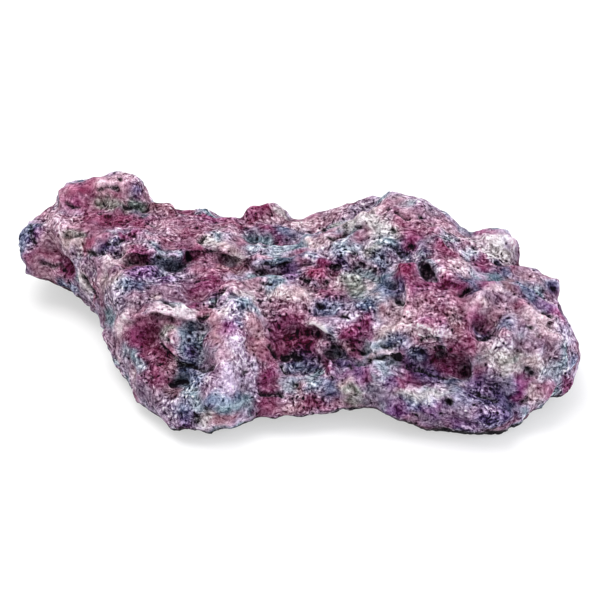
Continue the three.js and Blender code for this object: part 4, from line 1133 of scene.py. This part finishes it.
class Nodes:
    """A short way to write a material's node tree: each call adds nodes and gives back an output."""

    def __init__(self, name):
        self.material = bpy.data.materials.new(name)
        self.material.use_nodes = True
        self.tree = self.material.node_tree
        self.shader = self.tree.nodes["Principled BSDF"]

    def fill(self, socket, value):
        """Joins the socket to another, or gives it a value."""
        if isinstance(value, bpy.types.NodeSocket):
            self.tree.links.new(value, socket)
        else:
            socket.default_value = value

    def add(self, kind, output, inputs, **settings):
        """A new node with its inputs filled and its settings made."""
        node = self.tree.nodes.new("ShaderNode" + kind)
        for name, value in settings.items():
            setattr(node, name, value)
        for key, value in inputs.items():
            self.fill(node.inputs[key], value)
        return node.outputs[output]

    def math(self, operation, a, b=0.0):
        """One step of arithmetic on numbers."""
        return self.add("Math", "Value", {0: a, 1: b}, operation=operation)

    def vector(self, operation, a, b):
        """One step of arithmetic on vectors and colours."""
        return self.add("VectorMath", "Vector", {0: a, 1: b}, operation=operation)

    def noise(self, place, size, detail=1.0, roughness=0.5):
        """Noise from about -1 to 1 with lumps of the given size in millimetres."""
        inputs = {"Vector": place, "Scale": 1 / size, "Detail": detail, "Roughness": roughness}
        return self.between(self.add("TexNoise", "Fac", inputs), *NOISE_SPAN, -1, 1)

    def between(self, value, low, high, to_low, to_high, smooth=False):
        """The value carried from one range to another: in proportion, or by a smooth step within it."""
        inputs = {"Value": value, "From Min": low, "From Max": high, "To Min": to_low, "To Max": to_high}
        settings = {"interpolation_type": "SMOOTHSTEP"} if smooth else {"clamp": False}
        return self.add("MapRange", "Result", inputs, **settings)

    def ease(self, value, low, high, to_low=0.0, to_high=1.0):
        """The value carried from one range to another by a smooth step."""
        return self.between(value, low, high, to_low, to_high, smooth=True)

    def lines(self, place, size, width):
        """Thin winding lines where the noise is near 0: 1 on a line, easing to 0 at the width."""
        return self.ease(self.math("ABSOLUTE", self.noise(place, size)), 0, width, 1, 0)

    def cells(self, output, place, size):
        """Scattered cells: their Color is a cell's own, and their Distance is the way to its middle."""
        return self.add("TexVoronoi", output, {"Vector": place, "Scale": 1 / size})

    def own_number(self, place, size):
        """A number from 0 to 1 for each scattered cell."""
        return self.add("SeparateColor", "Red", {"Color": self.cells("Color", place, size)})

    def chips(self, place, size):
        """Small chips side by side, each with a value of its own from -1 to 1."""
        return self.between(self.own_number(place, size), 0, 1, -1, 1)

    def spots(self, place, shift, size, share, radius):
        """Round spots in a share of the cells: 1 in the middle, easing to 0 at the radius."""
        place = self.vector("ADD", place, shift)
        chosen = self.math("LESS_THAN", self.own_number(place, size), share)
        spot = self.ease(self.cells("Distance", place, size), SPOT_FLAT * radius, radius, 1, 0)
        return self.math("MULTIPLY", spot, chosen)

    def flakes(self, place, size, softness):
        """Ragged patches of -1 and 1: noise drawn up to steep edges, which are softer the wider they are."""
        return self.ease(self.noise(place, size, detail=3.0, roughness=0.65), -softness, softness, -1, 1)

    def total(self, features, weights, start=0.0):
        """The start, plus each weight times the feature of its name."""
        result = start
        for name, weight in weights.items():
            inputs = {0: features[name], 1: weight, 2: result}
            result = self.add("Math", "Value", inputs, operation="MULTIPLY_ADD")
        return result


def coat_material():
    """The dry coat: shade times its painted light and shade, and the light that mottling, chips, flecks,
    lines and pits add.
    """
    n = Nodes("reef_coat")
    millimetres = {"Vector": n.add("TexCoord", "Object", {}), "Scale": (1 / MM, 1 / MM, 1 / MM)}
    place = n.add("Mapping", "Vector", millimetres)
    swirl = n.add("TexNoise", "Color", {"Vector": place, "Scale": 1 / SWIRL_SIZE, "Detail": 1.0})
    swirl = n.vector("MULTIPLY", n.vector("SUBTRACT", swirl, (0.5, 0.5, 0.5)), SWIRL_AMOUNT)
    bent = n.vector("ADD", place, swirl)
    stroked = n.add("Mapping", "Vector", {"Vector": bent, **STROKE_WAY})
    crossed = n.add("Mapping", "Vector", {"Vector": bent, **CROSS_WAY})
    mask = n.ease(n.noise(place, size=9), *LINES_FADE_IN)
    features = {
        "mottle": n.flakes(place, size=8, softness=0.35),
        "flakes": n.flakes(bent, size=4, softness=0.25),
        "strokes": n.flakes(stroked, size=1.8, softness=0.4),
        "cross strokes": n.flakes(crossed, size=1.6, softness=0.4),
        "chips": n.chips(stroked, size=1.8),
        "small chips": n.chips(crossed, size=1.15),
        "pale lines": n.math("MULTIPLY", n.lines(bent, size=5, width=0.14), mask),
        "flecks": n.spots(stroked, shift=(13, 27, 9), size=2.6, share=0.3, radius=0.4),
        "pits": n.spots(bent, shift=(31, 17, 5), size=3.4, share=0.3, radius=0.36),
        "small pits": n.spots(bent, shift=(11, 47, 25), size=1.9, share=0.3, radius=0.4),
    }
    calm = n.add("Attribute", "Fac", {}, attribute_name="calm")
    rough = n.math("MULTIPLY", n.ease(n.noise(place, size=26), -0.5, 0.5, *ROUGH_LIMITS),
                   n.between(calm, 0, 1, ROUGH_CRUST, CALM_CRUST))

    light = n.add("Math", "Value", {0: n.total(features, FINE_LIGHT), 1: rough,
                                    2: n.total(features, WIDE_LIGHT, LIGHT_OFFSET)}, operation="MULTIPLY_ADD")
    # The shade is multiplied by the painted light and shade stored on the mesh
    shade = n.vector("MULTIPLY", n.add("Attribute", "Vector", {}, attribute_name="shade"),
                     n.add("Attribute", "Fac", {}, attribute_name="painted_shading"))
    colour = n.vector("MINIMUM", n.vector("MAXIMUM", n.vector("ADD", shade, light), DARKEST), PALEST)
    n.fill(n.shader.inputs["Base Color"], n.add("Gamma", "Color", {"Color": colour, "Gamma": DISPLAY_GAMMA}))

    relief = {"Height": n.total(features, COAT_RELIEF), "Distance": BUMP_HEIGHT * MM, "Strength": 1.0}
    n.fill(n.shader.inputs["Normal"], n.add("Bump", "Normal", relief))
    n.shader.inputs["Roughness"].default_value = 0.85
    n.shader.inputs["Specular IOR Level"].default_value = 0.08
    return n.material


def add_rock():
    """The rock's visible surface, in place of its plain solid."""
    points, shades, dark = rock_surface()
    # The painted light and shade, the shade and the calm of each point
    coat = {"painted_shading": coat_painted_shading(points, dark), "shade": shades, "calm": calmness(shades)}
    mesh = grid_mesh("rock_surface", points, coat)
    mesh.materials.append(coat_material())
    rock = add_object("rock_surface", mesh)
    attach(rock, "root")
    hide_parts("reef_rock")


def plain_material(name, shade, roughness):
    """A material of one shade."""
    material = bpy.data.materials.new(name)
    material.use_nodes = True
    shader = material.node_tree.nodes["Principled BSDF"]
    shader.inputs["Base Color"].default_value = (*linear(shade), 1)
    shader.inputs["Roughness"].default_value = roughness
    return material


def add_floor():
    """A wide, plain pale floor that glows, like a light table, so that the rock's shadow on it is faint."""
    mesh = bpy.data.meshes.new("floor")
    corners = [(-1, -1), (1, -1), (1, 1), (-1, 1)]
    mesh.from_pydata([(x * FLOOR_HALF, y * FLOOR_HALF, 0) for x, y in corners], [], [(0, 1, 2, 3)])
    paper = plain_material("floor_paper", FLOOR_SHADE, roughness=0.9)
    shader = paper.node_tree.nodes["Principled BSDF"]
    shader.inputs["Emission Color"].default_value = (1, 1, 1, 1)
    shader.inputs["Emission Strength"].default_value = FLOOR_GLOW
    mesh.materials.append(paper)
    floor = add_object("floor", mesh)


def add_light(name, place, size, power, colour=(1, 1, 1), aim=(0, 0, 0.03)):
    """A square lamp at a place, turned to face the rock."""
    lamp = bpy.data.lights.new(name, "AREA")
    lamp.color = colour
    lamp.size = size
    lamp.energy = power
    light = add_object(name, lamp)
    light.location = place
    light.rotation_euler = (Vector(place) - Vector(aim)).to_track_quat("Z", "Y").to_euler()


def add_lights():
    """A broad soft key from above and the left, a weak cool fill from the front right, and a white room."""
    add_light("key", (-0.3, 0.12, 1.3), size=0.9, power=13)
    add_light("fill", (1.0, -0.5, 0.6), size=0.9, power=5, colour=(0.8, 0.84, 1.0))
    world = bpy.data.worlds.new("room")
    bpy.context.scene.world = world
    world.use_nodes = True
    background = world.node_tree.nodes["Background"]
    background.inputs["Color"].default_value = (1, 1, 1, 1)
    background.inputs["Strength"].default_value = ROOM_LIGHT
    bpy.context.scene.view_settings.view_transform = "Standard"


add_camera()
add_rock()
add_floor()
add_lights()
